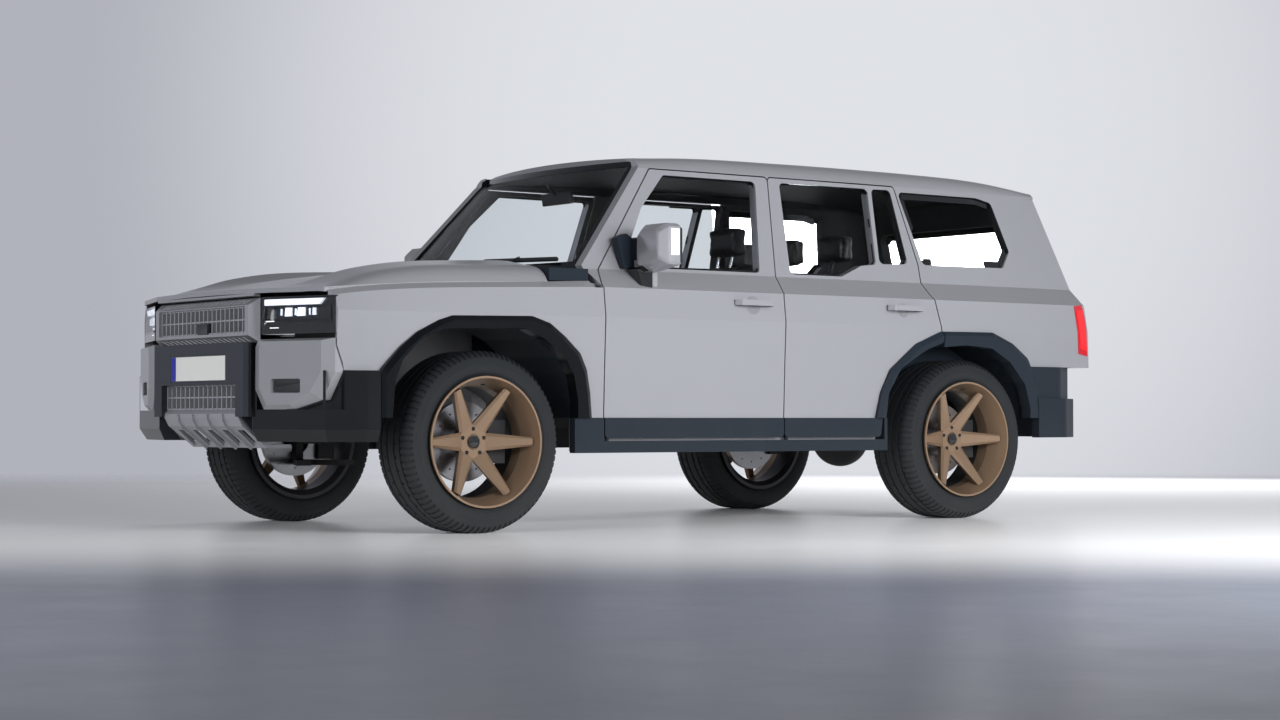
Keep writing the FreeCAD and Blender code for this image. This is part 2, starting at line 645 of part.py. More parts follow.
def windscreen_solid(extra=0, rise=0):
    """The raked windscreen, bowed forward in the middle. Extra makes it a cutting block."""
    slope = (along(0.3537) - along(0.2065)) / (size("header_height") - size("belt_height"))
    bow = size("frame_wall") * 1.6
    wires = []
    for height in (size("belt_height") + GAP, size("header_height") + size("roof_wall") + rise):
        x = along(0.2065) + slope * (height - size("belt_height"))
        share = (height - size("belt_height")) / (size("header_height") - size("belt_height"))
        half = size("belt_half") + (size("header_half") - size("belt_half")) * share
        half -= size("frame_wall") + GAP
        near, far = x + extra, x - size("glass_wall") * 1.5
        front = Part.Arc(Vector(near, -half, height), Vector(near + bow, 0, height),
                         Vector(near, half, height))
        back = Part.Arc(Vector(far, half, height), Vector(far + bow, 0, height),
                        Vector(far, -half, height))
        wires.append(Part.Wire([
            front.toShape(), Part.makeLine(Vector(near, half, height), Vector(far, half, height)),
            back.toShape(), Part.makeLine(Vector(far, -half, height), Vector(near, -half, height)),
        ]))
    return Part.makeLoft(wires, True, True)


def wing_section(station):
    """The closed section of the left wing, from the cladding line to the bonnet's edge."""
    u, share, shoulder_share, edge_share = station
    x, wall = along(u), size("wing_wall")
    outer = lower_points(share, 0)
    inner = lower_points(share, wall)
    outer[3] = (outer[3][0], outer[3][1] * shoulder_share)
    inner[3] = (inner[3][0], inner[3][1] * shoulder_share - wall / 2)
    edge_y = size("wing_edge_half") * share
    edge_z = size("wing_edge_height") * edge_share
    outer.append((edge_y, edge_z))
    inner.append((edge_y, edge_z - wall / 2))
    return flat([Vector(x, y, z) for y, z in outer + inner[::-1]])


def nose_prism(inset, low, high):
    """Everything behind the faceted nose line, seen from above, for trimming the front end."""
    front = FRONT_AXLE + (size("front_overhang") - inset)
    corner = size("front_overhang") * 0.17
    half = size("body_half")
    points = [(0, -2 * half), (0, 2 * half), (front - corner * 2, 2 * half),
              (front - corner, half * 0.953), (front - size("skid_wall"), half * 0.50),
              (front - size("skid_wall"), -half * 0.50), (front - corner, -half * 0.953),
              (front - corner * 2, -2 * half)]
    return plan_prism(points, low, high)


def make_front():
    """The wings, the bonnet with its raised shoulders, and the cowl."""
    wing = Part.makeLoft([wing_section(station) for station in WING_SHARES], True, False)
    wing = wing.cut(arch_prism(FRONT_AXLE, FLARE_FRONT_SHARES, "front_arch_top", 0, LENGTH, SEAT))
    wing = wing.common(nose_prism(size("panel_wall"), 0, LENGTH))
    behind = block(0, along(0.2246) + GAP / 2, 0, LENGTH, 0, LENGTH)
    pillar_foot = block(0, along(0.2065) + GAP / 2, 0, LENGTH, size("shoulder_height") - GAP / 2, LENGTH)
    below = block(FRONT_AXLE, LENGTH, 0, LENGTH, 0, size("wing_low_front"))
    lamp_room = nose_band(0, size("lamp_depth") + OVER, size("lamp_low") - SEAT, size("lamp_high") + SEAT,
                          0.50, (size("lamp_outer") + SEAT) / size("body_half"))
    panel_room = nose_band(0, size("bumper_wall"), 0, size("lamp_low") - SEAT, 0.50, 0.96)
    wing = largest(wing.cut([behind, pillar_foot, below, lamp_room, panel_room]))
    node("wing_left", wing)
    node("wing_right", other_side(wing))
    node("bonnet", bonnet_solid())
    node("cowl", cowl_solid())


def bonnet_line(x, shares, drop):
    """The bonnet's section from its left edge to its right, with a raised shoulder on each side."""
    _, share, edge_share, centre_share, rise_share = shares
    half = size("wing_edge_half") * share - GAP
    edge = size("wing_edge_height") * edge_share - drop
    centre = size("bonnet_height") * centre_share - drop
    rise = size("shoulder_rise") * rise_share

    def crown(part):
        return centre - (centre - edge) * part * part

    rim = Vector(x, half, edge)
    outer = Vector(x, half * 0.86, crown(0.86) + rise)
    inner = Vector(x, half * 0.64, crown(0.64) + rise)
    foot = Vector(x, half * 0.46, crown(0.46))
    slope = Vector(x, half * 0.96, edge + (outer.z - edge) * 0.85)
    hollow = Vector(x, half * 0.53, crown(0.53) + rise * 0.1)
    left = [curved(rim, slope, outer), Part.makeLine(outer, inner), curved(inner, hollow, foot)]
    middle = curved(foot, Vector(x, 0, centre * 2 - crown(0.46)), Vector(x, -foot.y, foot.z))
    right = [Part.makeLine(Vector(x, -inner.y, inner.z), Vector(x, -outer.y, outer.z))]
    right.insert(0, curved(Vector(x, -foot.y, foot.z), Vector(x, -hollow.y, hollow.z),
                           Vector(x, -inner.y, inner.z)))
    right.append(curved(Vector(x, -outer.y, outer.z), Vector(x, -slope.y, slope.z), Vector(x, -half, edge)))
    return left + [middle] + right, rim


def bonnet_solid():
    """The bonnet: a crowned panel that swells into two shoulders, with a lip over the grille."""
    wires = []
    wall = size("bonnet_wall")
    for shares in BONNET_SHARES:
        x = along(shares[0])
        upper, rim = bonnet_line(x, shares, 0)
        lower, low_rim = bonnet_line(x, shares, wall)
        far, low_far = Vector(x, -rim.y, rim.z), Vector(x, -low_rim.y, low_rim.z)
        wires.append(Part.Wire(upper + [Part.makeLine(far, low_far)] + lower[::-1]
                               + [Part.makeLine(low_rim, rim)]))
    bonnet = Part.makeLoft(wires, True, False)
    half, front = size("surround_half"), LENGTH / 2
    deep = size("bumper_wall")
    lip = side_prism([(front, size("surround_high") + GAP + wall / 3), (front, size("lamp_high") + wall),
                      (front - deep, size("lamp_high") + wall), (front - deep, size("surround_high") + GAP)],
                     -half, half)
    bonnet = bonnet.fuse(lip).common(nose_prism(size("skid_wall"), 0, LENGTH))
    return largest(bonnet.removeSplitter())


def cowl_solid():
    """The dark plastic panel under the windscreen that carries the wipers."""
    foot, screen = along(0.2065) + GAP, along(0.2246)
    front = along(0.128) - GAP
    wide = size("wing_edge_half") * 0.998 - SEAT
    narrow = size("belt_half") - size("frame_wall") - GAP * 2
    points = [(front, wide), (foot, wide), (foot, narrow), (screen, narrow),
              (screen, -narrow), (foot, -narrow), (foot, -wide), (front, -wide)]
    cowl = plan_prism(points, size("shoulder_height") + GAP * 4, size("belt_height") - GAP)
    hinge = block(front - GAP, front + GAP - SEAT, wide * 0.3, wide * 0.4, size("belt_height") - GAP * 4,
                  size("bonnet_height") * 1.015)
    return cowl.fuse([hinge, other_side(hinge)])


# Rear end

def make_rear():
    """The tailgate with its window, the tail lamps and the rear bumper."""
    half = size("tailgate_half")
    wires = []
    for height in (size("body_rear_bottom") + GAP, size("belt_height"), size("tailgate_top")):
        tail, wall, narrow = tail_x(height), size("tail_wall"), half
        wires.append(flat([Vector(tail, -narrow, height), Vector(tail, narrow, height),
                           Vector(tail + wall, narrow, height), Vector(tail + wall, -narrow, height)]))
    gate = Part.makeLoft(wires, True, True)
    narrow, top = size("rail_half") - GAP, size("tailgate_top")
    low, high = top - OVER / 2, size("header_height") - GAP
    wall = size("tail_wall")
    neck = side_prism([(tail_x(low), low), (tail_x(high), high), (tail_x(high) + wall, high),
                       (tail_x(low) + wall, low)], -narrow, narrow)
    spoiler = roof_loft(narrow).common(block(-LENGTH, along(size("gate_split")) - GAP, -LENGTH, LENGTH,
                                             0, LENGTH))
    gate = gate.fuse([neck, spoiler])
    low, high = size("belt_height") + OVER / 2, size("tailgate_top") - OVER
    window = front_prism([(-half * 0.86, low), (half * 0.86, low), (half * 0.80, high),
                          (-half * 0.80, high)], -LENGTH, 0, size("window_radius") * 2)
    node("tailgate", gate.cut(window).removeSplitter())
    pane_outline = front_prism([(-half * 0.86 + SEAT, low + SEAT), (half * 0.86 - SEAT, low + SEAT),
                                (half * 0.80 - SEAT, high - SEAT), (-half * 0.80 + SEAT, high - SEAT)],
                               -LENGTH, 0, size("window_radius") * 2)
    sheet_points = [(tail_x(low - OVER) + size("glass_inset"), low - OVER),
                    (tail_x(high + OVER) + size("glass_inset"), high + OVER),
                    (tail_x(high + OVER) + size("glass_inset") + size("glass_wall"), high + OVER),
                    (tail_x(low - OVER) + size("glass_inset") + size("glass_wall"), low - OVER)]
    pane = side_prism(sheet_points, -half, half).common(pane_outline)
    node("tailgate_glass", pane)
    node("rear_bumper", rear_bumper_solid())
    node("tail_lamps", pair(tail_lamp_solid()))


def tail_lamp_solid():
    """An upright tail lamp that stands on the corner post's rear face."""
    low, high = size("tail_lamp_low"), size("tail_lamp_high")
    outer = side_half_at(size("widest_height"), STATION_SHARES[POST_STATION][1]) - size("corner_radius") * 2
    inner = outer - size("tail_lamp_width")
    proud = size("tail_lamp_proud") * 4
    points = [(tail_x(low) - SEAT, low), (tail_x(high) - SEAT, high), (tail_x(high) - proud, high),
              (tail_x(low) - proud, low)]
    return side_prism(points, inner, outer)


# The rear bumper's plan: shares of the rear overhang behind the axle and of the flare's half width
REAR_BUMPER_SHARES = ((0.684, 0.965), (0.870, 0.820), (1.0, 0.622))


def rear_bumper_ring(start, inset):
    """The rear bumper's plan outline, set in by an amount."""
    half, reach = size("flare_half"), size("rear_overhang")
    side = [(start, half - inset)]
    side += [(REAR_AXLE - reach * a + inset, half * b - inset * 0.5) for a, b in REAR_BUMPER_SHARES]
    return side + [(x, -y) for x, y in reversed(side)]


def rear_bumper_solid():
    """The stepped rear bumper that wraps the corners back to the wheel arches."""
    start = REAR_AXLE - size("arch_reach") * 0.80
    low, step = size("rear_bumper_low"), size("rear_bumper_step")
    high = size("body_rear_bottom") - SEAT
    wall, corner = size("bumper_wall"), size("corner_radius")
    upper = plan_prism(rear_bumper_ring(start, wall * 0.45), step, high, corner)
    lower = plan_prism(rear_bumper_ring(start, 0), low, step, corner)
    inside = plan_prism(rear_bumper_ring(start - OVER, wall), low - OVER, high + OVER)
    body = upper.fuse(lower).cut(inside)
    body = body.cut(block(start - OVER, LENGTH, -LENGTH, LENGTH, 0, LENGTH))
    body = body.cut(arch_prism(REAR_AXLE, FLARE_REAR_SHARES, "rear_arch_top", -LENGTH, LENGTH, SEAT))
    return largest(body)


# Front end

def nose_band(inset, wall, low, high, inner=0.0, outer=1.0):
    """A band that follows the faceted nose, between two shares of the half width, left side."""
    front = LENGTH / 2 - inset
    corner = size("front_overhang") * 0.17
    half = size("body_half")
    knee, tip = half * 0.50, half * 0.953

    def face_x(y):
        if y <= knee:
            return front
        return front - corner * (y - knee) / (tip - knee)

    stops = [inner * half] + [y for y in (knee,) if inner * half < y < outer * half] + [outer * half]
    points = [(face_x(y), y) for y in stops] + [(face_x(y) - wall, y) for y in reversed(stops)]
    return plan_prism(points, low, high)


def make_front_end():
    """The bumper, its grey panels, the lamps, both grilles and the skid plate."""
    node("front_bumper", bumper_solid())
    node("front_panels", front_panels())
    node("headlamps", pair(headlamp_solid()))
    node("grilles", grille_solids())
    node("skid_plate", skid_solid())


def bumper_solid():
    """The dark bumper: plate panel, a post each side of the lower grille and the gloss wraps."""
    deep, half, mouth = size("bumper_wall"), size("bumper_half"), size("lower_grille_half")
    front, low = LENGTH / 2, size("lower_grille_low") - OVER / 2
    grille_low, grille_high = size("lower_grille_low"), size("lower_grille_high")
    centre = plan_prism([(front, half), (front, -half), (front - deep * 2, -half), (front - deep * 2, half)],
                        low, size("bumper_high"), deep / 2)
    centre = centre.cut(block(0, front - deep, -LENGTH, LENGTH, 0, LENGTH))
    centre = centre.cut(block(0, LENGTH, -mouth, mouth, 0, grille_high))
    plate = size("plate_half")
    centre = centre.cut(block(front - size("plate_seat"), LENGTH, -plate, plate,
                              size("plate_low"), size("plate_high")))
    tip = size("bumper_low")
    post = side_prism([(front - SEAT, grille_low), (front - deep * 0.3, low), (front - deep * 1.8, tip),
                       (front - deep * 3, tip), (front - deep * 3, tip + GAP * 4),
                       (front - deep * 1.9, tip + GAP * 5), (front - deep, low), (front - deep, grille_low)],
                      mouth, mouth + (half - mouth) * 0.2)
    wrap = wrap_solid()
    return centre.fuse([post, other_side(post), wrap, other_side(wrap)])


def wrap_solid():
    """The gloss black side of the bumper, with a bevelled foot, from the nose to the wheel arch."""
    back = FRONT_AXLE + size("arch_reach") * 1.12 + SEAT
    nose, half = LENGTH / 2, size("body_half")
    low, foot, high = size("bumper_low"), size("bumper_foot"), size("body_rear_bottom") * 0.915
    bevel = size("bumper_bevel")
    outline = [(nose - size("lamp_depth") * 1.1, half * 0.93), (back + OVER, size("flare_half")),
               (back, size("flare_half")), (back, half * 0.88), (nose - size("lamp_depth") * 1.6, half * 0.47),
               (nose - size("bumper_wall") * 0.55, half * 0.47)]
    drawn = [(outline[0][0] - bevel, outline[0][1] - bevel), (outline[1][0], outline[1][1] - bevel),
             (outline[2][0], outline[2][1] - bevel), outline[3], outline[4],
             (outline[5][0] - bevel, outline[5][1])]
    shoe = Part.makeLoft([flat([Vector(x, y, low) for x, y in drawn]),
                          flat([Vector(x, y, foot) for x, y in outline])], True, True)
    wrap = shoe.fuse(plan_prism(outline, foot, high))
    room = nose_band(0, size("bumper_wall"), size("lower_grille_low"), size("bumper_high"), 0.50, 1.05)
    return wrap.cut(room)


def front_panels():
    """The bevelled, slotted grille surround and the two faceted corner panels."""
    front = LENGTH / 2 - size("panel_wall") / 2
    bevel = size("surround_bevel")
    rings = []
    for x, spread in ((front, -bevel / 2), (front - bevel * 1.4, bevel / 2)):
        half = size("surround_half") + spread
        low, high = size("surround_low") - spread + bevel / 2, size("surround_high") + spread - bevel / 2
        rings.append(flat([Vector(x, -half, low), Vector(x, half, low), Vector(x, half, high),
                           Vector(x, -half, high)]))
    surround = Part.makeLoft(rings, True, True)
    opening = block(0, LENGTH, -size("grille_half"), size("grille_half"), size("grille_low"),
                    size("grille_high"))
    surround = surround.cut([opening] + slot_row(front))
    return Part.makeCompound([surround] + pair(corner_panel()).Solids)


def slot_row(front):
    """The slanted slots in the surround's upper and lower bevels."""
    count, bevel, wall = int(size("slot_count")), size("surround_bevel"), size("bar_wall")
    pitch = 2 * size("grille_half") / count
    slots = []
    for index in range(count):
        y = -size("grille_half") + pitch * index
        points = [(front - bevel * 0.3, y), (front - bevel * 0.3, y + pitch * 0.5),
                  (front - bevel * 1.15, y + pitch), (front - bevel * 1.15, y + pitch * 0.5)]
        slots.append(plan_prism(points, size("grille_high") + wall, size("surround_high") + OVER))
        slots.append(plan_prism(points, size("surround_low") - OVER, size("grille_low") - wall))
    return slots


# The corner panel seen from the front: shares of the body's half width, with heights, for its
# outer edge and for its raised face
PANEL_RIM = ((0.512, 0.831), (0.530, 0.934), (0.953, 0.934), (0.953, 0.4875), (0.886, 0.128),
             (0.737, 0.003), (0.560, 0.003), (0.512, 0.269))
PANEL_FACE = ((0.560, 0.806), (0.578, 0.903), (0.905, 0.903), (0.905, 0.5), (0.842, 0.225),
              (0.730, 0.069), (0.600, 0.069), (0.560, 0.294))


def corner_panel():
    """A grey corner panel with bevelled edges and a rounded recess for the fog lamp."""
    half, bevel = size("body_half"), size("panel_bevel")
    corner = size("front_overhang") * 0.17
    low = size("lower_grille_low")
    reach = size("lamp_low") - low

    def ring(places, inset):
        points = []
        for share, rise in places:
            x = LENGTH / 2 - inset - corner * (share - 0.50) / 0.453
            points.append(Vector(x, half * share, low + reach * rise))
        return flat(points)

    back = size("bumper_wall") - SEAT
    panel = Part.makeLoft([ring(PANEL_RIM, bevel), ring(PANEL_FACE, 0)], True, True)
    panel = panel.fuse(Part.makeLoft([ring(PANEL_RIM, back), ring(PANEL_RIM, bevel)], True, True))
    wide, tall, z = size("fog_width") / 2, size("fog_height") / 2, low + size("fog_rise")
    y = half * 0.707
    recess = front_prism([(y - wide, z - tall), (y + wide, z - tall), (y + wide, z + tall), (y - wide, z + tall)],
                         0, LENGTH, tall / 3)
    recess = recess.common(nose_band(-OVER, OVER + bevel, 0, size("lamp_low"), 0.50, 1.0))
    return panel.cut(recess).removeSplitter()


def headlamp_solid():
    """A headlamp box set into the faceted corner, with a recessed face over a thin ledge."""
    half, inset = size("body_half"), size("panel_wall")
    low, high, rim = size("lamp_low"), size("lamp_high"), size("lamp_rim")
    inner, outer = size("lamp_inner"), size("lamp_outer")
    lamp = nose_band(inset, size("lamp_depth"), low, high, inner / half, outer / half)
    sill = low + (high - low) * 0.27
    recess = nose_band(0, inset + rim * 2, sill, high - rim / 2, (inner + rim) / half, (outer - rim) / half)
    ledge = nose_band(inset - rim / 2, rim * 2, sill - rim / 2, sill, (inner + rim) / half, (outer - rim * 4) / half)
    return lamp.cut(recess).fuse(ledge)


def bar_grid(half, low, high, count, crossings, x):
    """Upright and level bars that fill an opening, fused where they cross."""
    wall, deep = size("bar_wall"), size("grille_depth")
    bars = []
    for index in range(count):
        y = -half + (2 * half - wall) * index / (count - 1)
        bars.append(block(x - deep, x, y, y + wall, low, high))
    for index in range(crossings):
        z = low + (high - low - wall) * index / (crossings - 1)
        bars.append(block(x - deep * 0.9, x - deep * 0.1, -half, half, z, z + wall))
    return bars[0].fuse(bars[1:])


def grille_solids():
    """The two barred grilles, seated in their openings."""
    x = LENGTH / 2 - size("panel_wall")
    upper = bar_grid(size("grille_half") - SEAT, size("grille_low") + SEAT, size("grille_high") - SEAT,
                     int(size("bar_count")), int(size("crossbar_count")), x)
    lower = bar_grid(size("lower_grille_half") - SEAT, size("lower_grille_low") + SEAT,
                     size("lower_grille_high") - SEAT, int(size("lower_bar_count")),
                     int(size("crossbar_count")), x)
    return Part.makeCompound([upper, lower])


def skid_solid():
    """The curved skid plate under the nose, with raised ribs and slots cut down its slope."""
    half, wall = size("skid_half"), size("skid_wall")
    top, low = size("lower_grille_low") - SEAT, size("bumper_low") - OVER / 2
    front = LENGTH / 2 - wall
    outer = [(front - wall, top), (front, top - wall), (front, top - wall * 2.2), (front - wall * 1.2, top - wall * 4.4),
             (front - wall * 9, low), (front - wall * 16, low)]
    inner = [(front - wall * 16, low + wall), (front - wall * 9.4, low + wall),
             (front - wall * 2.4, top - wall * 4.2), (front - wall * 1.4, top - wall * 2),
             (front - wall * 2, top)]
    skid = side_prism(outer + inner, -half, half)
    count = int(size("skid_slots"))
    pitch = 2 * half / count
    proud = wall / 2
    rib_points = [(x + proud, z - proud) for x, z in outer[1:5]] + [(x, z) for x, z in outer[4:0:-1]]
    cuts, ribs = [], []
    for index in range(count):
        y = -half + pitch * (index + 0.5)
        cuts.append(plan_prism([(front - wall * 8.6, y - pitch * 0.30), (front - wall * 8.6, y + pitch * 0.12),
                                (front - wall * 2.6, y + pitch * 0.30), (front - wall * 2.6, y - pitch * 0.12)],
                               0, top - wall * 2))
    for index in range(1, count):
        y = -half + pitch * index
        ribs.append(side_prism(rib_points, y - wall / 3, y + wall / 3))
    return skid.cut(cuts).fuse(ribs)


def make_fixed_body(quarter_panes):
    """Flares, sills, fixed glass and the floor with its bulkhead."""
    front = flare_ring(FRONT_AXLE, ARCH_FRONT_SHARES, FLARE_FRONT_SHARES, "front_arch_top")
    above = block(-LENGTH, LENGTH, 0, LENGTH, size("clad_line") - SEAT, LENGTH)
    front = front.common(above)
    rear = flare_ring(REAR_AXLE, ARCH_REAR_SHARES, FLARE_REAR_SHARES, "rear_arch_top").common(above)
    door_wire = side_outline(REAR_DOOR_SHARES, size("outline_radius"))
    rear = rear.cut(through_side(grown(door_wire, GAP / 2)))
    rear = largest(rear.cut(block(along(0.9456), LENGTH, 0, LENGTH, 0, LENGTH)))
    node("arch_flares", Part.makeCompound(pair(largest(front)).Solids + pair(rear).Solids))
    sill = sill_solid()
    node("sills", pair(sill))
    node("fixed_glass", Part.makeCompound([windscreen_solid()] + pair(quarter_panes).Solids))
    node("floor_pan", floor_solid())


def sill_solid():
    """The dark sill under the doors, with its step towards the wheel arches."""
    half, wall = size("sill_half"), size("clad_wall")
    front = FRONT_AXLE - size("arch_reach") * 1.006
    rear = REAR_AXLE + size("arch_reach") * 1.08
    door_front, door_rear = along(0.2246), along(0.8060) - GAP * 3
    low, mid, top = size("sill_bottom"), size("door_bottom") - GAP, size("clad_line") - SEAT * 2
    points = [(front, low), (front, top), (door_front + GAP / 2, top), (door_front + GAP / 2, mid),
              (door_rear - GAP / 2, mid), (door_rear - GAP / 2, top), (rear, top), (rear, low)]
    sill = side_prism(points, half - wall, half)
    top = level(0.40) + GAP / 2 - SEAT
    for u in (0.2246, 0.5912):
        pin = Part.makeCylinder(wall / 4, top - low, Vector(along(u) - size("hinge_inset"), half - wall / 2, low))
        sill = sill.fuse(pin)
    return sill


def liner(axle, shares, top, inner):
    """The thin arch liner over one wheel, as wide as the tyre's room."""
    wall = size("liner_wall")
    outer = size("flare_half") - size("flare_wall") - SEAT
    over = arch_prism(axle, shares, top, inner, outer, wall * 3)
    room = arch_prism(axle, shares, top, inner - OVER, outer + OVER, wall * 2)
    above = block(-LENGTH, LENGTH, 0, LENGTH, size("clad_line"), LENGTH)
    return over.cut(room).common(above)


def floor_solid():
    """Floor, tunnel, bulkhead and the liners of the four wheel arches."""
    half, wall = size("cabin_half"), size("floor_wall")
    low, high = size("floor_height"), size("rear_floor_height")
    front, back = along(0.190), tail_x(size("body_rear_bottom")) + size("tail_wall") * 3
    step, knee = along(0.64), along(0.30)
    profile = [(front, low), (front, low + wall), (step, low + wall), (step - wall, high + wall),
               (back, high + wall), (back, high), (step - wall * 2, high), (step - wall, low)]
    bulkhead = block(front - size("bulkhead_wall"), front, -half, half, low, size("shoulder_height"))
    wide, top = size("tunnel_half"), size("tunnel_height")
    tunnel = side_prism([(front, low), (front, top), (knee, top), (step + wall * 3, high + wall),
                         (step - wall, high + wall), (step - wall, low)], -wide, wide)
    hollow = side_prism([(front + wall, 0), (front + wall, top - wall), (knee, top - wall),
                         (step + wall * 3, high), (step - wall * 3, high), (step - wall * 3, 0)],
                        -wide + wall, wide - wall)
    pan = side_prism(profile, -half, half).fuse([bulkhead, tunnel]).cut(hollow)
    steered = size("kingpin_half") * 0.62
    tub = WHEEL_Y - size("tyre_width") / 2 - size("liner_wall") * 6
    shield = arch_prism(REAR_AXLE, ARCH_REAR_SHARES, "rear_arch_top", tub, LENGTH, size("liner_wall") * 3)
    pan = pan.cut([shield, other_side(shield)])
    rear = liner(REAR_AXLE, ARCH_REAR_SHARES, "rear_arch_top", tub)
    cheek = arch_prism(REAR_AXLE, ARCH_REAR_SHARES, "rear_arch_top", tub, tub + size("liner_wall"),
                       size("liner_wall") * 3)
    above = block(-LENGTH, LENGTH, 0, LENGTH, size("clad_line"), LENGTH)
    rear = rear.fuse(cheek.common(above))
    front = liner(FRONT_AXLE, ARCH_FRONT_SHARES, "front_arch_top", steered)
    return Part.makeCompound(pan.Solids + pair(rear).Solids + pair(front).Solids)


# Bodies made from sketches and features

def plane(body, role):
    """One of a body's own origin planes or axes."""
    return next(item for item in body.Origin.OriginFeatures if item.Role == role)


def sketch(body, name, role, points, offset=None):
    """A closed sketch whose corners are bound to expressions of the sheet."""
    drawn = body.newObject("Sketcher::SketchObject", name)
    drawn.AttachmentSupport = [(plane(body, role), "")]
    drawn.MapMode = "FlatFace"
    if offset:
        drawn.setExpression("AttachmentOffset.Base.z", offset)
    corners = [Vector(drawn.evalExpression(a), drawn.evalExpression(b), 0) for a, b in points]
    count = len(corners)
    lines = [Part.LineSegment(corners[i], corners[(i + 1) % count]) for i in range(count)]
    drawn.addGeometry(lines, False)
    for index in range(count):
        drawn.addConstraint(Sketcher.Constraint("Coincident", index, 2, (index + 1) % count, 1))
    for index, (across, up) in enumerate(points):
        hold(drawn, "DistanceX", index, corners[index].x, across, -2)
        hold(drawn, "DistanceY", index, corners[index].y, up, -1)
    return drawn


def hold(drawn, kind, index, value, expression, axis):
    """Bind one corner to an expression, or to the axis where its distance is zero."""
    if value == 0:
        drawn.addConstraint(Sketcher.Constraint("PointOnObject", index, 1, axis))
        return
    number = drawn.addConstraint(Sketcher.Constraint(kind, -1, 1, index, 1, value))
    drawn.setExpression("Constraints[%d]" % number, expression)


def circle_sketch(body, name, role, across, up, radius, offset=None):
    """A sketch of one circle bound to expressions of the sheet."""
    drawn = body.newObject("Sketcher::SketchObject", name)
    drawn.AttachmentSupport = [(plane(body, role), "")]
    drawn.MapMode = "FlatFace"
    if offset:
        drawn.setExpression("AttachmentOffset.Base.z", offset)
    x, y, r = (drawn.evalExpression(text) for text in (across, up, radius))
    drawn.addGeometry(Part.Circle(Vector(x, y, 0), Vector(0, 0, 1), r), False)
    number = drawn.addConstraint(Sketcher.Constraint("Radius", 0, r))
    drawn.setExpression("Constraints[%d]" % number, radius)
    hold_centre(drawn, "DistanceX", x, across, -2)
    hold_centre(drawn, "DistanceY", y, up, -1)
    return drawn


def hold_centre(drawn, kind, value, expression, axis):
    """Bind a circle's centre to an expression, or to the axis where its distance is zero."""
    if value == 0:
        drawn.addConstraint(Sketcher.Constraint("PointOnObject", 0, 3, axis))
        return
    number = drawn.addConstraint(Sketcher.Constraint(kind, -1, 1, 0, 3, value))
    drawn.setExpression("Constraints[%d]" % number, expression)


def turned(body, name, profile, axis_role):
    """A full revolution of a sketch about one of the body's own axes."""
    item = body.newObject("PartDesign::Revolution", name)
    item.Profile = profile
    item.ReferenceAxis = (plane(body, axis_role), [""])
    item.Angle = 360
    body.Tip = item
    return item


def pocketed(body, name, profile):
    """A pocket of a sketch through everything, to both sides of it."""
    item = body.newObject("PartDesign::Pocket", name)
    item.Profile = profile
    item.Type = "ThroughAll"
    item.Midplane = True
    body.Tip = item
    return item


def lofted(body, name, first, last):
    """A straight loft between two sketches."""
    item = body.newObject("PartDesign::AdditiveLoft", name)
    item.Profile = first
    item.Sections = [last]
    item.Ruled = True
    body.Tip = item
    return item


def ringed(body, name, feature, axis_role, count):
    """A feature repeated evenly round one of the body's own axes."""
    item = body.newObject("PartDesign::PolarPattern", name)
    item.Originals = [feature]
    item.Axis = (plane(body, axis_role), [""])
    item.Angle = 360
    item.setExpression("Occurrences", count)
    body.Tip = item
    return item


def body_of(label):
    """A new body that becomes a node."""
    item = doc.addObject("PartDesign::Body", label)
    item.Label = label
    NODES.append(item)
    return item


def place_wheel_part(body, axle, side):
    """Stand a wheel's piece at its axle, turned so that its outer face looks outwards."""
    place = FreeCAD.Placement(Vector(0, 0, 0), FreeCAD.Rotation(Vector(0, 0, 1), 0 if side > 0 else 180))
    body.Placement = place
    body.setExpression("Placement.Base.x", axle)
    body.setExpression("Placement.Base.y", ("" if side > 0 else "-") + "Sizes.track / 2")
    body.setExpression("Placement.Base.z", "Sizes.tyre_radius")


FRONT_X = "(Sizes.front_overhang + Sizes.wheelbase + Sizes.rear_overhang) / 2 - Sizes.front_overhang"
REAR_X = FRONT_X + " - Sizes.wheelbase"
WHEELS = (("front_left", FRONT_X, 1), ("front_right", FRONT_X, -1),
          ("rear_left", REAR_X, 1), ("rear_right", REAR_X, -1))


def make_tyre(name, axle, side):
    """A tyre: bead, bulged sidewall, shoulder and flat tread, turned about its axle."""
    body = body_of("tyre_" + name)
    wide, tall, bead = "Sizes.tyre_width / 2", "Sizes.tyre_radius", "Sizes.bead_radius"
    half = [(bead, wide + " * 0.76"), (bead + " + (Sizes.tyre_radius - Sizes.bead_radius) * 0.13", wide + " * 0.9"),
            (bead + " + (Sizes.tyre_radius - Sizes.bead_radius) * 0.47", wide),
            (bead + " + (Sizes.tyre_radius - Sizes.bead_radius) * 0.78", wide + " * 0.955"),
            (tall + " * 0.972", wide + " * 0.83"), (tall, wide + " * 0.66")]
    points = half + [(across, "-(" + up + ")") for across, up in reversed(half)]
    turned(body, "carcass_" + name, sketch(body, "tyre_profile_" + name, "XY_Plane", points), "Y_Axis")
    place_wheel_part(body, axle, side)


def spoke_section(body, name, reach, face, wide):
    """One section across a spoke: narrower in front than behind, at a distance from the axle."""
    front, back = face, face + " - Sizes.spoke_depth * 1.2"
    waist = face + " - Sizes.spoke_depth * 0.3"
    points = [(front, wide + " * 0.30"), (waist, wide + " / 2"), (back, wide + " * 0.42"),
              (back, "-(" + wide + " * 0.42)"), (waist, "-(" + wide + " / 2)"),
              (front, "-(" + wide + " * 0.30)")]
    return sketch(body, name, "YZ_Plane", points, reach)


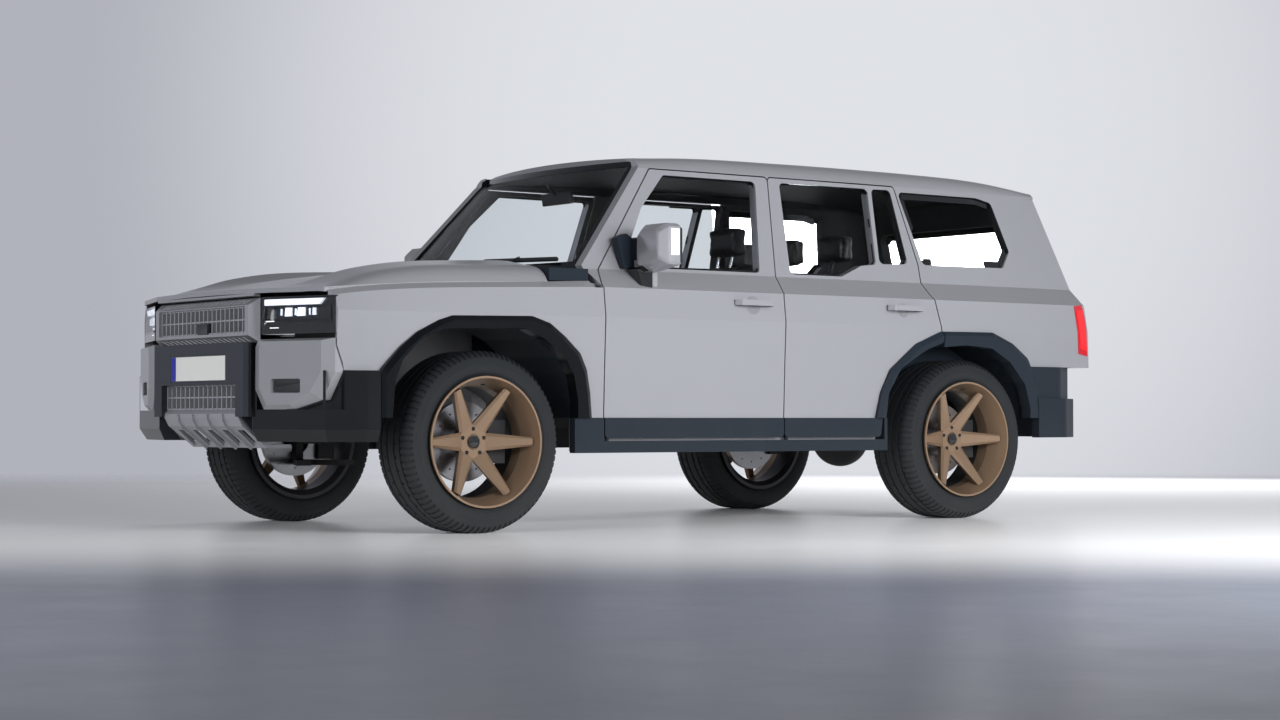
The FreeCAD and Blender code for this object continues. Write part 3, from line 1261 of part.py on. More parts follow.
def make_rim(name, axle, side):
    """A deep concave wheel with six spokes, lug holes and a plain centre cap."""
    body = body_of("rim_" + name)
    lip = "Sizes.rim_width / 2"
    radius, barrel, wall = "Sizes.rim_radius", "Sizes.barrel_radius", "Sizes.barrel_wall"
    bead = "(Sizes.bead_radius - Sizes.seat_gap)"
    edge = "(Sizes.tyre_width / 2 * 0.76 + Sizes.seat_gap * 4)"
    profile = [
        (radius, lip), (radius + " - " + wall, lip), (barrel + " + " + wall, lip + " * 0.70"),
        (barrel + " - " + wall, lip + " * 0.30"), (barrel + " - " + wall, "-(" + lip + " * 0.86)"),
        (radius + " - " + wall + " * 2", "-(" + lip + ")"), (radius, "-(" + lip + ")"),
        (radius, "-(" + lip + " - " + wall + ")"), (bead, "-" + edge),
        (bead, "-(" + lip + " * 0.70)"), (barrel, "-(" + lip + " * 0.6)"), (barrel, lip + " * 0.30"),
        (bead, lip + " * 0.66"), (bead, edge), (radius, lip + " - " + wall),
    ]
    turned(body, "barrel_" + name, sketch(body, "barrel_profile_" + name, "XY_Plane", profile), "Y_Axis")
    face = "(Sizes.rim_width / 2 - Sizes.hub_recess)"
    hub = [("Sizes.bore_radius", face), ("Sizes.hub_radius", face),
           ("Sizes.hub_radius * 1.12", face + " - Sizes.spoke_depth"),
           ("Sizes.bore_radius", face + " - Sizes.spoke_depth * 1.2")]
    turned(body, "hub_" + name, sketch(body, "hub_profile_" + name, "XY_Plane", hub), "Y_Axis")
    root = spoke_section(body, "spoke_root_" + name, "Sizes.hub_radius * 0.85", face, "Sizes.spoke_width")
    tip = spoke_section(body, "spoke_tip_" + name, "Sizes.barrel_radius + Sizes.barrel_wall * 0.5",
                        "(" + lip + " * 0.80)", "Sizes.spoke_tip_width")
    bar = lofted(body, "spoke_" + name, root, tip)
    ringed(body, "spokes_" + name, bar, "Y_Axis", "Sizes.spoke_count")
    cap = [("0", face), ("Sizes.cap_radius", face), ("Sizes.bore_radius * 1.05", face + " - Sizes.cap_depth"),
           ("0", face + " - Sizes.cap_depth")]
    turned(body, "cap_" + name, sketch(body, "cap_profile_" + name, "XY_Plane", cap), "Y_Axis")
    hole = pocketed(body, "lug_hole_" + name,
                    circle_sketch(body, "lug_" + name, "XZ_Plane", "0", "Sizes.lug_circle", "Sizes.lug_hole"))
    ringed(body, "lug_holes_" + name, hole, "Y_Axis", "Sizes.lug_count")
    place_wheel_part(body, axle, side)


def make_disc(name, axle, side):
    """A brake disc with its hat, which the wheel's hub bolts through."""
    body = body_of("disc_" + name)
    back = "(Sizes.rim_width / 2 - Sizes.hub_recess - Sizes.spoke_depth * 1.2 - Sizes.seat_gap)"
    face = "(" + back + " - Sizes.disc_hat_depth)"
    profile = [
        ("Sizes.hub_shaft + Sizes.seat_gap", back), ("Sizes.disc_hat", back), ("Sizes.disc_hat", face),
        ("Sizes.disc_radius", face), ("Sizes.disc_radius", face + " - Sizes.disc_wall"),
        ("Sizes.disc_hat - Sizes.bar_wall", face + " - Sizes.disc_wall"),
        ("Sizes.disc_hat - Sizes.bar_wall", back + " - Sizes.bar_wall"),
        ("Sizes.hub_shaft + Sizes.seat_gap", back + " - Sizes.bar_wall"),
    ]
    turned(body, "rotor_" + name, sketch(body, "rotor_profile_" + name, "XY_Plane", profile), "Y_Axis")
    hole = pocketed(body, "disc_hole_" + name,
                    circle_sketch(body, "disc_hole_sketch_" + name, "XZ_Plane", "0",
                                  "Sizes.disc_radius * 0.78", "Sizes.disc_hole"))
    ringed(body, "disc_holes_" + name, hole, "Y_Axis", "Sizes.disc_hole_count")
    place_wheel_part(body, axle, side)


def make_wheels():
    """All four wheels, each a tyre, a rim and a brake disc."""
    for name, axle, side in WHEELS:
        make_tyre(name, axle, side)
        make_rim(name, axle, side)
        make_disc(name, axle, side)


def disc_face():
    """How far the disc's outer face lies inboard of the wheel's centre plane, signed."""
    back = size("rim_width") / 2 - size("hub_recess") - size("spoke_depth") * 1.2 - SEAT
    return back - size("disc_hat_depth")


def caliper(axle):
    """A brake caliper that bridges the disc behind the axle, seen on the left."""
    z = size("tyre_radius")
    face = WHEEL_Y + disc_face()
    wide, tall, deep = size("caliper_width"), size("caliper_length"), size("caliper_depth")
    gap = size("running_gap") / 2
    x = axle - size("disc_radius") - gap * 2
    shell = block(x - deep * 0.3, x + deep, face - size("disc_wall") / 2 - wide / 2,
                  face - size("disc_wall") / 2 + wide / 2, z - tall / 2, z + tall / 2)
    slot = Part.makeCylinder(size("disc_radius") + gap * 2, size("disc_wall") + gap * 2,
                             Vector(axle, face - size("disc_wall") - gap, z), Vector(0, 1, 0))
    return shell.cut(slot)


def knuckle_solid():
    """The left front knuckle: upright, hub shaft, ears on the kingpin line and the caliper."""
    x, z, y = FRONT_AXLE, size("tyre_radius"), size("kingpin_half")
    tall, wide = size("knuckle_height"), size("knuckle_width")
    upright = block(x - wide / 2, x + wide / 2, y - wide / 2, y + wide / 2, z - tall / 2, z + tall / 2)
    end = WHEEL_Y + size("rim_width") / 2 - size("hub_recess") - size("cap_depth") - SEAT
    shaft = Part.makeCylinder(size("hub_shaft"), end - y, Vector(x, y, z), Vector(0, 1, 0))
    brake = caliper(x)
    box = brake.BoundBox
    bracket = block(box.XMin + size("caliper_depth") * 0.3, x, y - wide / 4, y + wide / 4,
                    z - wide / 2, z + wide / 2)
    pad = block(box.XMin + size("caliper_depth") * 0.3, x - size("disc_radius"), y - wide / 4,
                box.YMin + size("running_gap"), z - wide / 2, z + wide / 2)
    return upright.fuse([shaft, brake, bracket, pad]).removeSplitter()


def make_axles():
    """Knuckles, the rear axle with its calipers, and the suspension between them and the frame."""
    knuckle = knuckle_solid()
    node("knuckle_left", knuckle)
    node("knuckle_right", other_side(knuckle))
    z = size("tyre_radius")
    end = WHEEL_Y + size("rim_width") / 2 - size("hub_recess") - size("cap_depth") - SEAT
    flange = WHEEL_Y + disc_face() - size("disc_wall") - size("running_gap")
    tube = Part.makeCylinder(size("axle_tube"), 2 * flange, Vector(REAR_AXLE, -flange, z), Vector(0, 1, 0))
    shaft = Part.makeCylinder(size("hub_shaft"), 2 * end, Vector(REAR_AXLE, -end, z), Vector(0, 1, 0))
    diff = Part.makeSphere(size("diff_radius"), Vector(REAR_AXLE, 0, z))
    brake = caliper(REAR_AXLE)
    box = brake.BoundBox
    bracket = block(box.XMin + size("caliper_depth") * 0.3, REAR_AXLE, flange - size("arm_wall") * 2,
                    flange - size("arm_wall"), z - size("arm_width") / 2, z + size("arm_width") / 2)
    hold_pad = block(box.XMin + size("caliper_depth") * 0.3, REAR_AXLE - size("disc_radius"),
                     flange - size("arm_wall") * 2, box.YMin + size("running_gap"),
                     z - size("arm_width") / 2, z + size("arm_width") / 2)
    side_parts = brake.fuse([bracket, hold_pad])
    axle = tube.fuse([shaft, diff, side_parts, other_side(side_parts)])
    node("rear_axle", axle.removeSplitter())
    node("suspension", suspension_solids())


def suspension_solids():
    """Front wishbones and struts, rear links and coil springs, plain and still."""
    z, y = size("tyre_radius"), size("kingpin_half")
    tall, wall, wide = size("knuckle_height"), size("arm_wall"), size("arm_width")
    inner = size("rail_y") + size("rail_width") / 2 + SEAT
    tip = y + size("knuckle_width") / 10
    arms = []
    for height, spread in ((z - tall / 2 - wall - SEAT, 2.6), (z + tall / 2 + SEAT, 1.8)):
        arms.append(plan_prism([(FRONT_AXLE + wide * 0.36, tip), (FRONT_AXLE - wide * 0.36, tip),
                                (FRONT_AXLE - wide * spread, inner), (FRONT_AXLE - wide * spread * 0.5, inner),
                                (FRONT_AXLE, tip - wide * 1.5), (FRONT_AXLE + wide * spread * 0.5, inner),
                                (FRONT_AXLE + wide * spread, inner)], height, height + wall))
    link = block(REAR_AXLE + size("axle_tube") + SEAT, REAR_AXLE + size("arm_length") * 2.4,
                 size("rail_y") - wide, size("rail_y") - wide / 3, z - wall / 2, z + wall / 2)
    foot = z + size("axle_tube") * 0.9 + SEAT
    top = size("rail_low") + size("rail_kick") - SEAT
    spring = Part.makeCylinder(size("coil_radius"), top - foot, Vector(REAR_AXLE, size("rail_y"), foot))
    tube = Part.makeCylinder(size("axle_tube") + SEAT, LENGTH, Vector(REAR_AXLE, 0, z), Vector(0, 1, 0))
    spring = spring.cut(tube)
    solids = []
    for shape in arms + [link, spring]:
        solids += pair(shape).Solids
    return Part.makeCompound(solids)


def make_frame():
    """The ladder frame: two rails that rise over the rear axle, and the members between them."""
    y, wide, deep = size("rail_y"), size("rail_width"), size("rail_depth")
    low, kick = size("rail_low"), size("rail_kick")
    front, back = FRONT_AXLE + size("front_overhang") * 0.80, tail_x(0) + size("tail_wall") * 2.5
    points = [(front, low), (FRONT_AXLE - size("arch_reach"), low), (REAR_AXLE + size("arch_reach") * 1.3, low),
              (REAR_AXLE + size("arch_reach") * 0.7, low + kick), (back, low + kick),
              (back, low + kick + deep * 0.7), (REAR_AXLE + size("arch_reach") * 0.6, low + kick + deep * 0.7),
              (REAR_AXLE + size("arch_reach") * 1.3, low + deep * 0.7), (front, low + deep * 0.7)]
    rail = side_prism(points, y - wide / 2, y + wide / 2)
    member, drop = size("member_width"), size("member_depth")
    inner = y - wide / 2 - SEAT
    members = []
    for x, rise in ((front - member, 0), (FRONT_AXLE - size("arch_reach"), 0), (along(0.45), 0),
                    (along(0.58), 0), (REAR_AXLE - size("arch_reach"), kick)):
        members.append(block(x, x + member, -inner, inner, low + rise, low + rise + drop))
    tail = block(back, back + member, -inner, inner, low + kick, low + kick + drop)
    members.append(tail.fuse(hitch_plate(back, low + kick)))
    node("cross_members", Part.makeCompound(members))
    pieces = [tow_eye(), link_bracket(), engine_mount()]
    for x, rise, top in ((along(0.25), 0, "floor_height"), (along(0.52), 0, "floor_height"),
                         (REAR_AXLE - size("arch_reach") * 0.8, kick, "rear_floor_height")):
        foot = low + rise + deep * 0.7 - SEAT
        pieces.append(Part.makeCylinder(wide / 2, size(top) - SEAT - foot, Vector(x, y, foot)))
    node("chassis_frame", pair(rail.fuse(pieces).removeSplitter()))


def link_bracket():
    """The left bracket that the rear axle's link hangs from."""
    end, y = REAR_AXLE + size("arm_length") * 2.4, size("rail_y")
    return block(end - size("arm_width"), end, y - size("arm_width"), y,
                 size("tyre_radius") + size("arm_wall") / 2 + SEAT, size("rail_low") + size("arm_wall"))


def engine_mount():
    """The left engine mount, from the rail to the block's side."""
    x, low = FRONT_AXLE - size("member_width") / 2, size("rail_low") + size("rail_depth") * 0.7
    return block(x, x + size("member_width"), size("engine_width") / 2 + SEAT, size("rail_y"),
                 low - size("member_depth"), size("engine_low") + size("member_depth"))


def tow_eye():
    """A flat towing eye on the inner face of the left rail's front end."""
    x, wall, low = FRONT_AXLE + size("front_overhang") * 0.64, size("eye_wall"), size("rail_low")
    radius = size("eye_radius")
    face = size("rail_y") - size("rail_width") / 2
    centre = Vector(x, face - radius * 1.6, low + wall)
    plate = block(x - radius * 2, x + radius * 2, centre.y, face + wall, low + wall, low + wall * 2)
    rounded = Part.makeCylinder(radius * 2, wall, centre)
    hole = Part.makeCylinder(radius, wall, centre)
    return plate.fuse(rounded).cut(hole)


def hitch_plate(back, low):
    """The upright plate on the rear cross member, with four holes for a tow bar."""
    wide, tall, wall = size("hitch_pitch"), size("hitch_rise"), size("hitch_wall")
    z = low + size("member_depth") / 2
    plate = block(back - wall, back, -wide, wide, z - tall, z + tall)
    for y in (-wide / 2, wide / 2):
        for rise in (-tall / 2, tall / 2):
            plate = plate.cut(Part.makeCylinder(size("hitch_hole"), wall, Vector(back - wall, y, z + rise),
                                                Vector(1, 0, 0)))
    return plate


def make_drive():
    """Engine block, gearbox with its shafts, fuel tank and exhaust."""
    length, wide, deep = size("engine_length"), size("engine_width"), size("engine_depth")
    low = size("engine_low")
    x = FRONT_AXLE + length * 0.42
    engine = block(x - length, x, -wide / 2, wide / 2, low, low + deep)
    node("engine", engine)
    end = x - length - SEAT
    radius = size("gearbox_radius")
    z = low + radius * 0.75
    box = Part.makeCone(radius, radius * 0.6, size("gearbox_length"), Vector(end, 0, z), Vector(-1, 0, 0))
    start = end - size("gearbox_length")
    reach = start - REAR_AXLE - size("diff_radius")
    shaft = Part.makeCylinder(size("shaft_radius"), reach, Vector(start, 0, z),
                              Vector(-reach, 0, size("tyre_radius") - z))
    node("driveline", box.fuse(shaft))
    face = along(0.58) - SEAT
    tank = block(face - size("tank_length"), face,
                 size("shaft_radius") * 1.5, size("rail_y") - size("rail_width") / 2 - GAP * 7,
                 size("rail_low") - size("tank_depth") * 0.4, size("rail_low") + size("rail_depth") * 0.5)
    node("fuel_tank", tank)
    y, low = -size("rail_y") * 0.5, size("rail_low")
    silencer = Part.makeCylinder(size("silencer_radius"), size("silencer_length"),
                                 Vector(face, y, low), Vector(-1, 0, 0))
    run = face - tail_x(0) - size("silencer_length") / 2 - size("tail_wall")
    pipe = Part.makeCylinder(size("pipe_radius"), run,
                             Vector(face - size("silencer_length") / 2, y, low + size("pipe_radius")),
                             Vector(-1, 0, 0))
    node("exhaust", silencer.fuse(pipe).removeSplitter())


def make_cabin():
    """Seats, dashboard and steering wheel."""
    solids = []
    for side in (1, -1):
        solids += seat(along(0.465), side * size("seat_y"), size("seat_width"), size("floor_height")).Solids
    node("front_seats", Part.makeCompound(solids))
    node("rear_seats", seat(along(0.715), 0, size("rear_seat_width"), size("rear_floor_height")))
    lean = FreeCAD.Rotation(Vector(0, 1, 0), size("column_tilt") - 90)
    place = FreeCAD.Placement(Vector(along(0.37), size("seat_y"), size("dash_top") - GAP * 2), lean)
    node("steering_wheel", steering_wheel_solid(), place)
    room = Part.makeCylinder(size("column_radius") + SEAT, size("column_length") + OVER,
                             Vector(0, 0, -size("column_length") - GAP))
    room.Placement = place
    node("dashboard", largest(dashboard_solid().cut(room)))


def seat(x, y, wide, floor):
    """A seat on its base: cushion, leaning back and headrest."""
    top, wall, deep = size("seat_height"), size("seat_wall"), size("seat_depth")
    low = floor + size("floor_wall") + SEAT
    cushion = block(x - deep / 2, x + deep / 2, y - wide / 2, y + wide / 2, low, top)
    lean = size("back_height") * 0.28
    rear = x - deep / 2
    foot = max(low, top - wall)
    back = side_prism([(rear + GAP, foot), (rear - size("back_wall"), foot),
                       (rear - size("back_wall") - lean, top + size("back_height")),
                       (rear - lean, top + size("back_height"))], y - wide / 2, y + wide / 2)
    half = size("headrest_width") / 2
    rest = block(rear - size("back_wall") * 0.9 - lean, rear - size("back_wall") * 0.9 - lean + size("headrest_depth"),
                 y - half, y + half, top + size("back_height") - SEAT, top + size("back_height") + size("headrest_height"))
    return cushion.fuse([back, rest]).removeSplitter()


def dashboard_solid():
    """The dashboard from door to door, with a hood over the instruments."""
    top, deep, drop = size("dash_top"), size("dash_depth"), size("dash_drop")
    front = along(0.190) - size("bulkhead_wall") - SEAT
    points = [(front, top), (front - deep * 0.8, top + GAP), (front - deep, top - drop * 0.2),
              (front - deep * 0.85, top - drop), (front, top - drop)]
    return side_prism(points, -size("dash_half"), size("dash_half"), size("outline_radius"))


def steering_wheel_solid():
    """The steering wheel: rim, hub and three spokes on a leaning column."""
    radius, wall = size("wheel_rim_radius"), size("wheel_rim_wall")
    rim = Part.makeTorus(radius, wall)
    hub = Part.makeCylinder(radius * 0.34, wall * 2.4, Vector(0, 0, -wall * 1.6))
    parts = [hub]
    for turn in (0, 90, 180):
        spoke = block(0, radius, -wall * 0.8, wall * 0.8, -wall * 0.6, wall * 0.6)
        spoke.rotate(Vector(0, 0, 0), Vector(0, 0, 1), turn + 180)
        parts.append(spoke)
    column = Part.makeCylinder(size("column_radius"), size("column_length"),
                               Vector(0, 0, -size("column_length")))
    return rim.fuse(parts + [column])


def check_and_write():
    """Stop on any failed object, then write each node's shape."""
    doc.recompute()
    for item in doc.Objects:
        if "Invalid" in item.State or "Error" in item.State:
            raise RuntimeError("failed object: " + item.Label)
    os.makedirs("parts", exist_ok=True)
    for item in NODES:
        shape = item.Shape
        if shape.isNull() or not shape.isValid() or not shape.Solids:
            raise RuntimeError("bad shape: " + item.Label)
        shape.exportStep("parts/" + item.Label + ".step")
        print(item.Label, len(shape.Solids), "solids", round(shape.Volume), "mm3")
    print(len(NODES), "nodes")


def main():
    """Build every sub-part and write its file."""
    walls = make_walls()
    make_doors(walls)
    quarter_panes = make_sides(walls)
    make_roof()
    make_front()
    make_rear()
    make_front_end()
    make_fixed_body(quarter_panes)
    make_wheels()
    make_axles()
    make_frame()
    make_drive()
    make_cabin()
    check_and_write()


if __name__ == "__main__":
    main()
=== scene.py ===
"""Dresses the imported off-road estate: paint, glass, tyres, lamps, grilles, trim and padded seats."""
import json
import math

import bmesh
import bpy
import numpy as np
from mathutils import Matrix, Vector
from mathutils.geometry import convex_hull_2d


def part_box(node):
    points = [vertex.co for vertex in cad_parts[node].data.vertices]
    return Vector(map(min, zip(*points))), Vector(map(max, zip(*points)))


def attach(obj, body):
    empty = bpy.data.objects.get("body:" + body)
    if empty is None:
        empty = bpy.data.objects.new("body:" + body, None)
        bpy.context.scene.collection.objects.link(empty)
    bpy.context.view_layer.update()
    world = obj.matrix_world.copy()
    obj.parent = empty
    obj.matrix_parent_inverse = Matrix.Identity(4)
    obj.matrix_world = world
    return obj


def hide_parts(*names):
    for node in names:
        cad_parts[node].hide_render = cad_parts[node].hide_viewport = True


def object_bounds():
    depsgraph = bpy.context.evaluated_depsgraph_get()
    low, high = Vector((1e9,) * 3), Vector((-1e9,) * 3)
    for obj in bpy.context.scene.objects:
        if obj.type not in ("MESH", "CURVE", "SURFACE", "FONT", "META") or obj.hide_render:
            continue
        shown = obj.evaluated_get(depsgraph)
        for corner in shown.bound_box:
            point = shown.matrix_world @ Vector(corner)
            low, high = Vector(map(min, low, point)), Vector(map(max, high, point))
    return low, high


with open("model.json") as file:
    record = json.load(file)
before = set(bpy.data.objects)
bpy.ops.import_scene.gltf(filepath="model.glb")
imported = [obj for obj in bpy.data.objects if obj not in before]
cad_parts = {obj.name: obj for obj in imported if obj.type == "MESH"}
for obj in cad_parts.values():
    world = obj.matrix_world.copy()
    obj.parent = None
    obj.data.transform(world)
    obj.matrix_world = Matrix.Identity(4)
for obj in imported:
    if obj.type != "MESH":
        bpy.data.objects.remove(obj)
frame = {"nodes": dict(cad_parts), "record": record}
CAD_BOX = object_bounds()

bl_info = {
    "name": "Off-road estate dresser",
    "version": (1, 0, 0),
    "blender": (4, 5, 0),
    "location": "3D View > Sidebar > Estate",
    "description": "Adds paint, tyres, lamps, trim and seats to the packed off-road estate",
    "category": "Object",
}

SIDES = (("left", 1), ("right", -1))
WHEELS = ("front_left", "front_right", "rear_left", "rear_right")


class EstateColours(bpy.types.PropertyGroup):
    """Colours of the finishes."""

    paint: bpy.props.FloatVectorProperty(
        name="Body paint", description="Silver-grey satin paint", subtype="COLOR", size=3,
        default=(0.33, 0.335, 0.36), min=0, max=1)
    cladding: bpy.props.FloatVectorProperty(
        name="Cladding", description="Blue-grey plastic of sills and flares", subtype="COLOR", size=3,
        default=(0.012, 0.017, 0.024), min=0, max=1)
    gloss: bpy.props.FloatVectorProperty(
        name="Gloss black", description="Gloss black bumper and pillars", subtype="COLOR", size=3,
        default=(0.003, 0.004, 0.005), min=0, max=1)
    satin: bpy.props.FloatVectorProperty(
        name="Satin grey", description="Satin grey of the number plate's panel", subtype="COLOR", size=3,
        default=(0.035, 0.040, 0.050), min=0, max=1)
    bronze: bpy.props.FloatVectorProperty(
        name="Bronze", description="Satin bronze of the wheels", subtype="COLOR", size=3,
        default=(0.30, 0.205, 0.135), min=0, max=1)
    rubber: bpy.props.FloatVectorProperty(
        name="Rubber", description="Tyre rubber", subtype="COLOR", size=3,
        default=(0.010, 0.012, 0.014), min=0, max=1)
    trim: bpy.props.FloatVectorProperty(
        name="Cabin trim", description="Black seats and cabin plastic", subtype="COLOR", size=3,
        default=(0.012, 0.012, 0.014), min=0, max=1)


class EstateStage(bpy.types.PropertyGroup):
    """The camera and the lamps."""

    lens: bpy.props.FloatProperty(
        name="Lens", description="Camera focal length in millimetres", default=70.83, min=10, unit="CAMERA")
    key_power: bpy.props.FloatProperty(
        name="Overhead light", description="Power of the overhead soft box", default=10, min=0, unit="POWER")
    fill_power: bpy.props.FloatProperty(
        name="Side light", description="Power of the side soft boxes", default=720, min=0, unit="POWER")


# The part's material slot that each finish of an added piece belongs to
FINISH_SLOTS = {
    "gloss black": "gloss_plastic", "chrome": "gloss_plastic", "cladding": "dark_plastic",
    "satin panel": "dark_plastic", "black metal": "dark_plastic", "dark chrome": "black_metal",
    "white lamp": "lamp", "lamp black": "lamp", "lamp glass": "lamp", "red glow": "red_lamp",
    "red lens": "red_lamp", "cabin plastic": "cabin_plastic", "seat leather": "trim",
    "body paint": "body_paint", "tyre rubber": "tyre",
}


# Modelling helpers


def clear_selection():
    """Leave edit mode with nothing selected."""
    if bpy.context.object and bpy.context.object.mode != "OBJECT":
        bpy.ops.object.mode_set(mode="OBJECT")
    bpy.ops.object.select_all(action="DESELECT")


def take(piece):
    """Make one piece the only one selected."""
    clear_selection()
    piece.select_set(True)
    bpy.context.view_layer.objects.active = piece
    return piece


def settle(name):
    """Name the new primitive and put its turn and size into its mesh."""
    piece = bpy.context.object
    piece.name = name
    piece.data.name = name
    bpy.ops.object.transform_apply(location=True, rotation=True, scale=True)
    return piece


def new_block(name, low, high, turn=(0, 0, 0)):
    """A block between two corners, turned about its middle."""
    clear_selection()
    middle = [(a + b) / 2 for a, b in zip(low, high)]
    spans = [b - a for a, b in zip(low, high)]
    bpy.ops.mesh.primitive_cube_add(size=1, location=middle, rotation=turn)
    bpy.context.object.scale = spans
    return settle(name)


def new_round(name, centre, radius, depth, axis="Y", sides=48):
    """A round bar or disc about one of the three axes."""
    turns = {"X": (0, math.pi / 2, 0), "Y": (math.pi / 2, 0, 0), "Z": (0, 0, 0)}
    clear_selection()
    bpy.ops.mesh.primitive_cylinder_add(
        vertices=sides, radius=radius, depth=depth, location=centre, rotation=turns[axis])
    return settle(name)


def new_outline(name, points):
    """A flat face through the given points."""
    clear_selection()
    bpy.ops.mesh.primitive_circle_add(vertices=len(points), radius=1, fill_type="NGON")
    piece = settle(name)
    for corner, place in zip(piece.data.vertices, points):
        corner.co = place
    return piece


def pick(piece, kind, test):
    """Enter edit mode with only the faces, edges or corners that pass a test selected."""
    take(piece)
    bpy.ops.object.mode_set(mode="EDIT")
    bpy.ops.mesh.select_mode(type=kind)
    bpy.ops.mesh.select_all(action="DESELECT")
    shape = bmesh.from_edit_mesh(piece.data)
    members = {"FACE": shape.faces, "EDGE": shape.edges, "VERT": shape.verts}[kind]
    for member in members:
        if test(member):
            member.select_set(True)
    shape.select_flush_mode()
    bmesh.update_edit_mesh(piece.data)


def looks(axis, limit):
    """A test for faces that look along an axis, or against it where the limit is negative."""
    return lambda face: getattr(face.normal, axis) * math.copysign(1, limit) > abs(limit)


def dish(piece, test, rim, push):
    """Inset the faces that pass a test, leaving a rim, and move them."""
    pick(piece, "FACE", test)
    bpy.ops.mesh.inset(thickness=rim)
    bpy.ops.transform.translate(value=push)


def modify(piece, kind, **settings):
    """Add a modifier with its settings and apply it."""
    take(piece)
    step = piece.modifiers.new(kind.lower(), kind)
    for label, value in settings.items():
        setattr(step, label, value)
    bpy.ops.object.modifier_apply(modifier=step.name)
    return piece


def mend_normals(piece):
    """Merge doubled corners and turn all faces outwards."""
    pick(piece, "VERT", lambda corner: True)
    bpy.ops.mesh.remove_doubles(threshold=0.00001)
    bpy.ops.mesh.normals_make_consistent(inside=False)
    clear_selection()
    return piece


def complete(piece, finish, body, bevel=0.0, segments=2, angle=32, slot=None):
    """Round the edges, smooth by angle, and give the piece its finish and its body."""
    if bevel:
        modify(piece, "BEVEL", width=bevel, segments=segments, limit_method="ANGLE")
    take(piece)
    bpy.ops.object.shade_smooth_by_angle(angle=math.radians(angle))
    clear_selection()
    if not piece.data.materials:
        piece.data.materials.append(finishes()[finish])
    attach(piece, body)
    slot = slot or FINISH_SLOTS.get(finish)
    return piece


def two_tone(piece, first, second, test):
    """Give a piece one finish, and another to the faces that pass a test."""
    piece.data.materials.clear()
    piece.data.materials.append(finishes()[first])
    piece.data.materials.append(finishes()[second])
    pick(piece, "FACE", test)
    piece.active_material_index = 1
    bpy.ops.object.material_slot_assign()


def copied(piece, name, change, flip=False):
    """A copy with its own mesh, moved or mirrored by a matrix."""
    twin = bpy.data.objects.new(name, piece.data.copy())
    twin.data.name = name
    bpy.context.collection.objects.link(twin)
    twin.data.transform(change)
    if flip:
        twin.data.flip_normals()
    return twin


MIRROR = Matrix.Diagonal((1, -1, 1, 1))


def on_both_sides(piece, name, finish, bodies=("car", "car"), **details):
    """Finish a left piece and its mirrored copy, and let each ride on its side's body."""
    twin = copied(piece, name + "_right", MIRROR, flip=True)
    piece.name = name + "_left"
    complete(piece, finish, bodies[0], **details)
    complete(twin, finish, bodies[1], **details)


# Shader node groups


def new_group(name, inputs, outputs):
    """An empty node group with its inputs' defaults and its outputs' names."""
    group = bpy.data.node_groups.new(name, "ShaderNodeTree")
    for label, default in inputs.items():
        kind = "NodeSocketFloat" if isinstance(default, float) else "NodeSocketColor"
        group.interface.new_socket(name=label, in_out="INPUT", socket_type=kind).default_value = default
    for label in outputs:
        kind = "NodeSocketColor" if label == "Colour" else "NodeSocketFloat"
        group.interface.new_socket(name=label, in_out="OUTPUT", socket_type=kind)
    return group, group.nodes.new("NodeGroupInput").outputs, group.nodes.new("NodeGroupOutput")


def feed(tree, node, feeds):
    """Give inputs their values, or link them to outputs; a node stands for its first output in use."""
    for label, value in feeds.items():
        if isinstance(value, bpy.types.Node):
            value = [pin for pin in value.outputs if pin.enabled][0]
        if isinstance(value, bpy.types.NodeSocket):
            tree.links.new(value, node.inputs[label])
        else:
            node.inputs[label].default_value = value
    return node


def add_node(tree, kind, feeds=None, **settings):
    """A node of a kind, with its settings and what its inputs are fed."""
    node = tree.nodes.new("ShaderNode" + kind)
    for label, value in settings.items():
        setattr(node, label, value)
    return feed(tree, node, feeds or {})


def blend(tree, factor, first, second):
    """A mix of two colours."""
    return add_node(tree, "Mix", {"Factor": factor, "A": first, "B": second}, data_type="RGBA")


def object_place(tree):
    """The place on the piece."""
    return add_node(tree, "TexCoord").outputs["Object"]


def grain_group():
    """Fine grain: a height for bump and a mask for colour and roughness."""
    group, start, end = new_group("grain", {"Scale": 900.0, "Contrast": 1.0}, ("Height", "Mask"))
    place = object_place(group)
    noise = add_node(group, "TexNoise", {"Vector": place, "Scale": start["Scale"], "Detail": 3, "Roughness": 0.6})
    cells = add_node(group, "TexVoronoi", {"Vector": place, "Scale": start["Scale"]})
    mix = add_node(group, "Math", {0: cells, 1: 0.5, 2: noise}, operation="MULTIPLY_ADD")
    lift = add_node(group, "Math", {0: mix, 1: start["Contrast"]}, operation="MULTIPLY")
    feed(group, end, {"Height": lift, "Mask": noise})
    return group


def road_dust_group():
    """Thin dust that thickens towards the ground: a colour and a mask for roughness."""
    group, start, end = new_group("road dust", {"Colour": (0.5, 0.5, 0.5, 1), "Amount": 0.2}, ("Colour", "Mask"))
    place = object_place(group)
    split = add_node(group, "SeparateXYZ", {0: place})
    height = add_node(group, "MapRange", {"Value": split.outputs["Z"], "From Min": 0.95, "From Max": 0.05})
    noise = add_node(group, "TexNoise", {"Vector": place, "Scale": 7, "Detail": 6})
    patchy = add_node(group, "Math", {0: height, 1: noise}, operation="MULTIPLY")
    amount = add_node(group, "Math", {0: patchy, 1: start["Amount"]}, operation="MULTIPLY")
    feed(group, end, {"Colour": blend(group, amount, start["Colour"], DUST_COLOUR), "Mask": amount})
    return group


DUST_COLOUR = (0.10, 0.095, 0.09, 1)


def shared(name, maker):
    """A node group, made the first time it is asked for."""
    return bpy.data.node_groups.get(name) or maker()


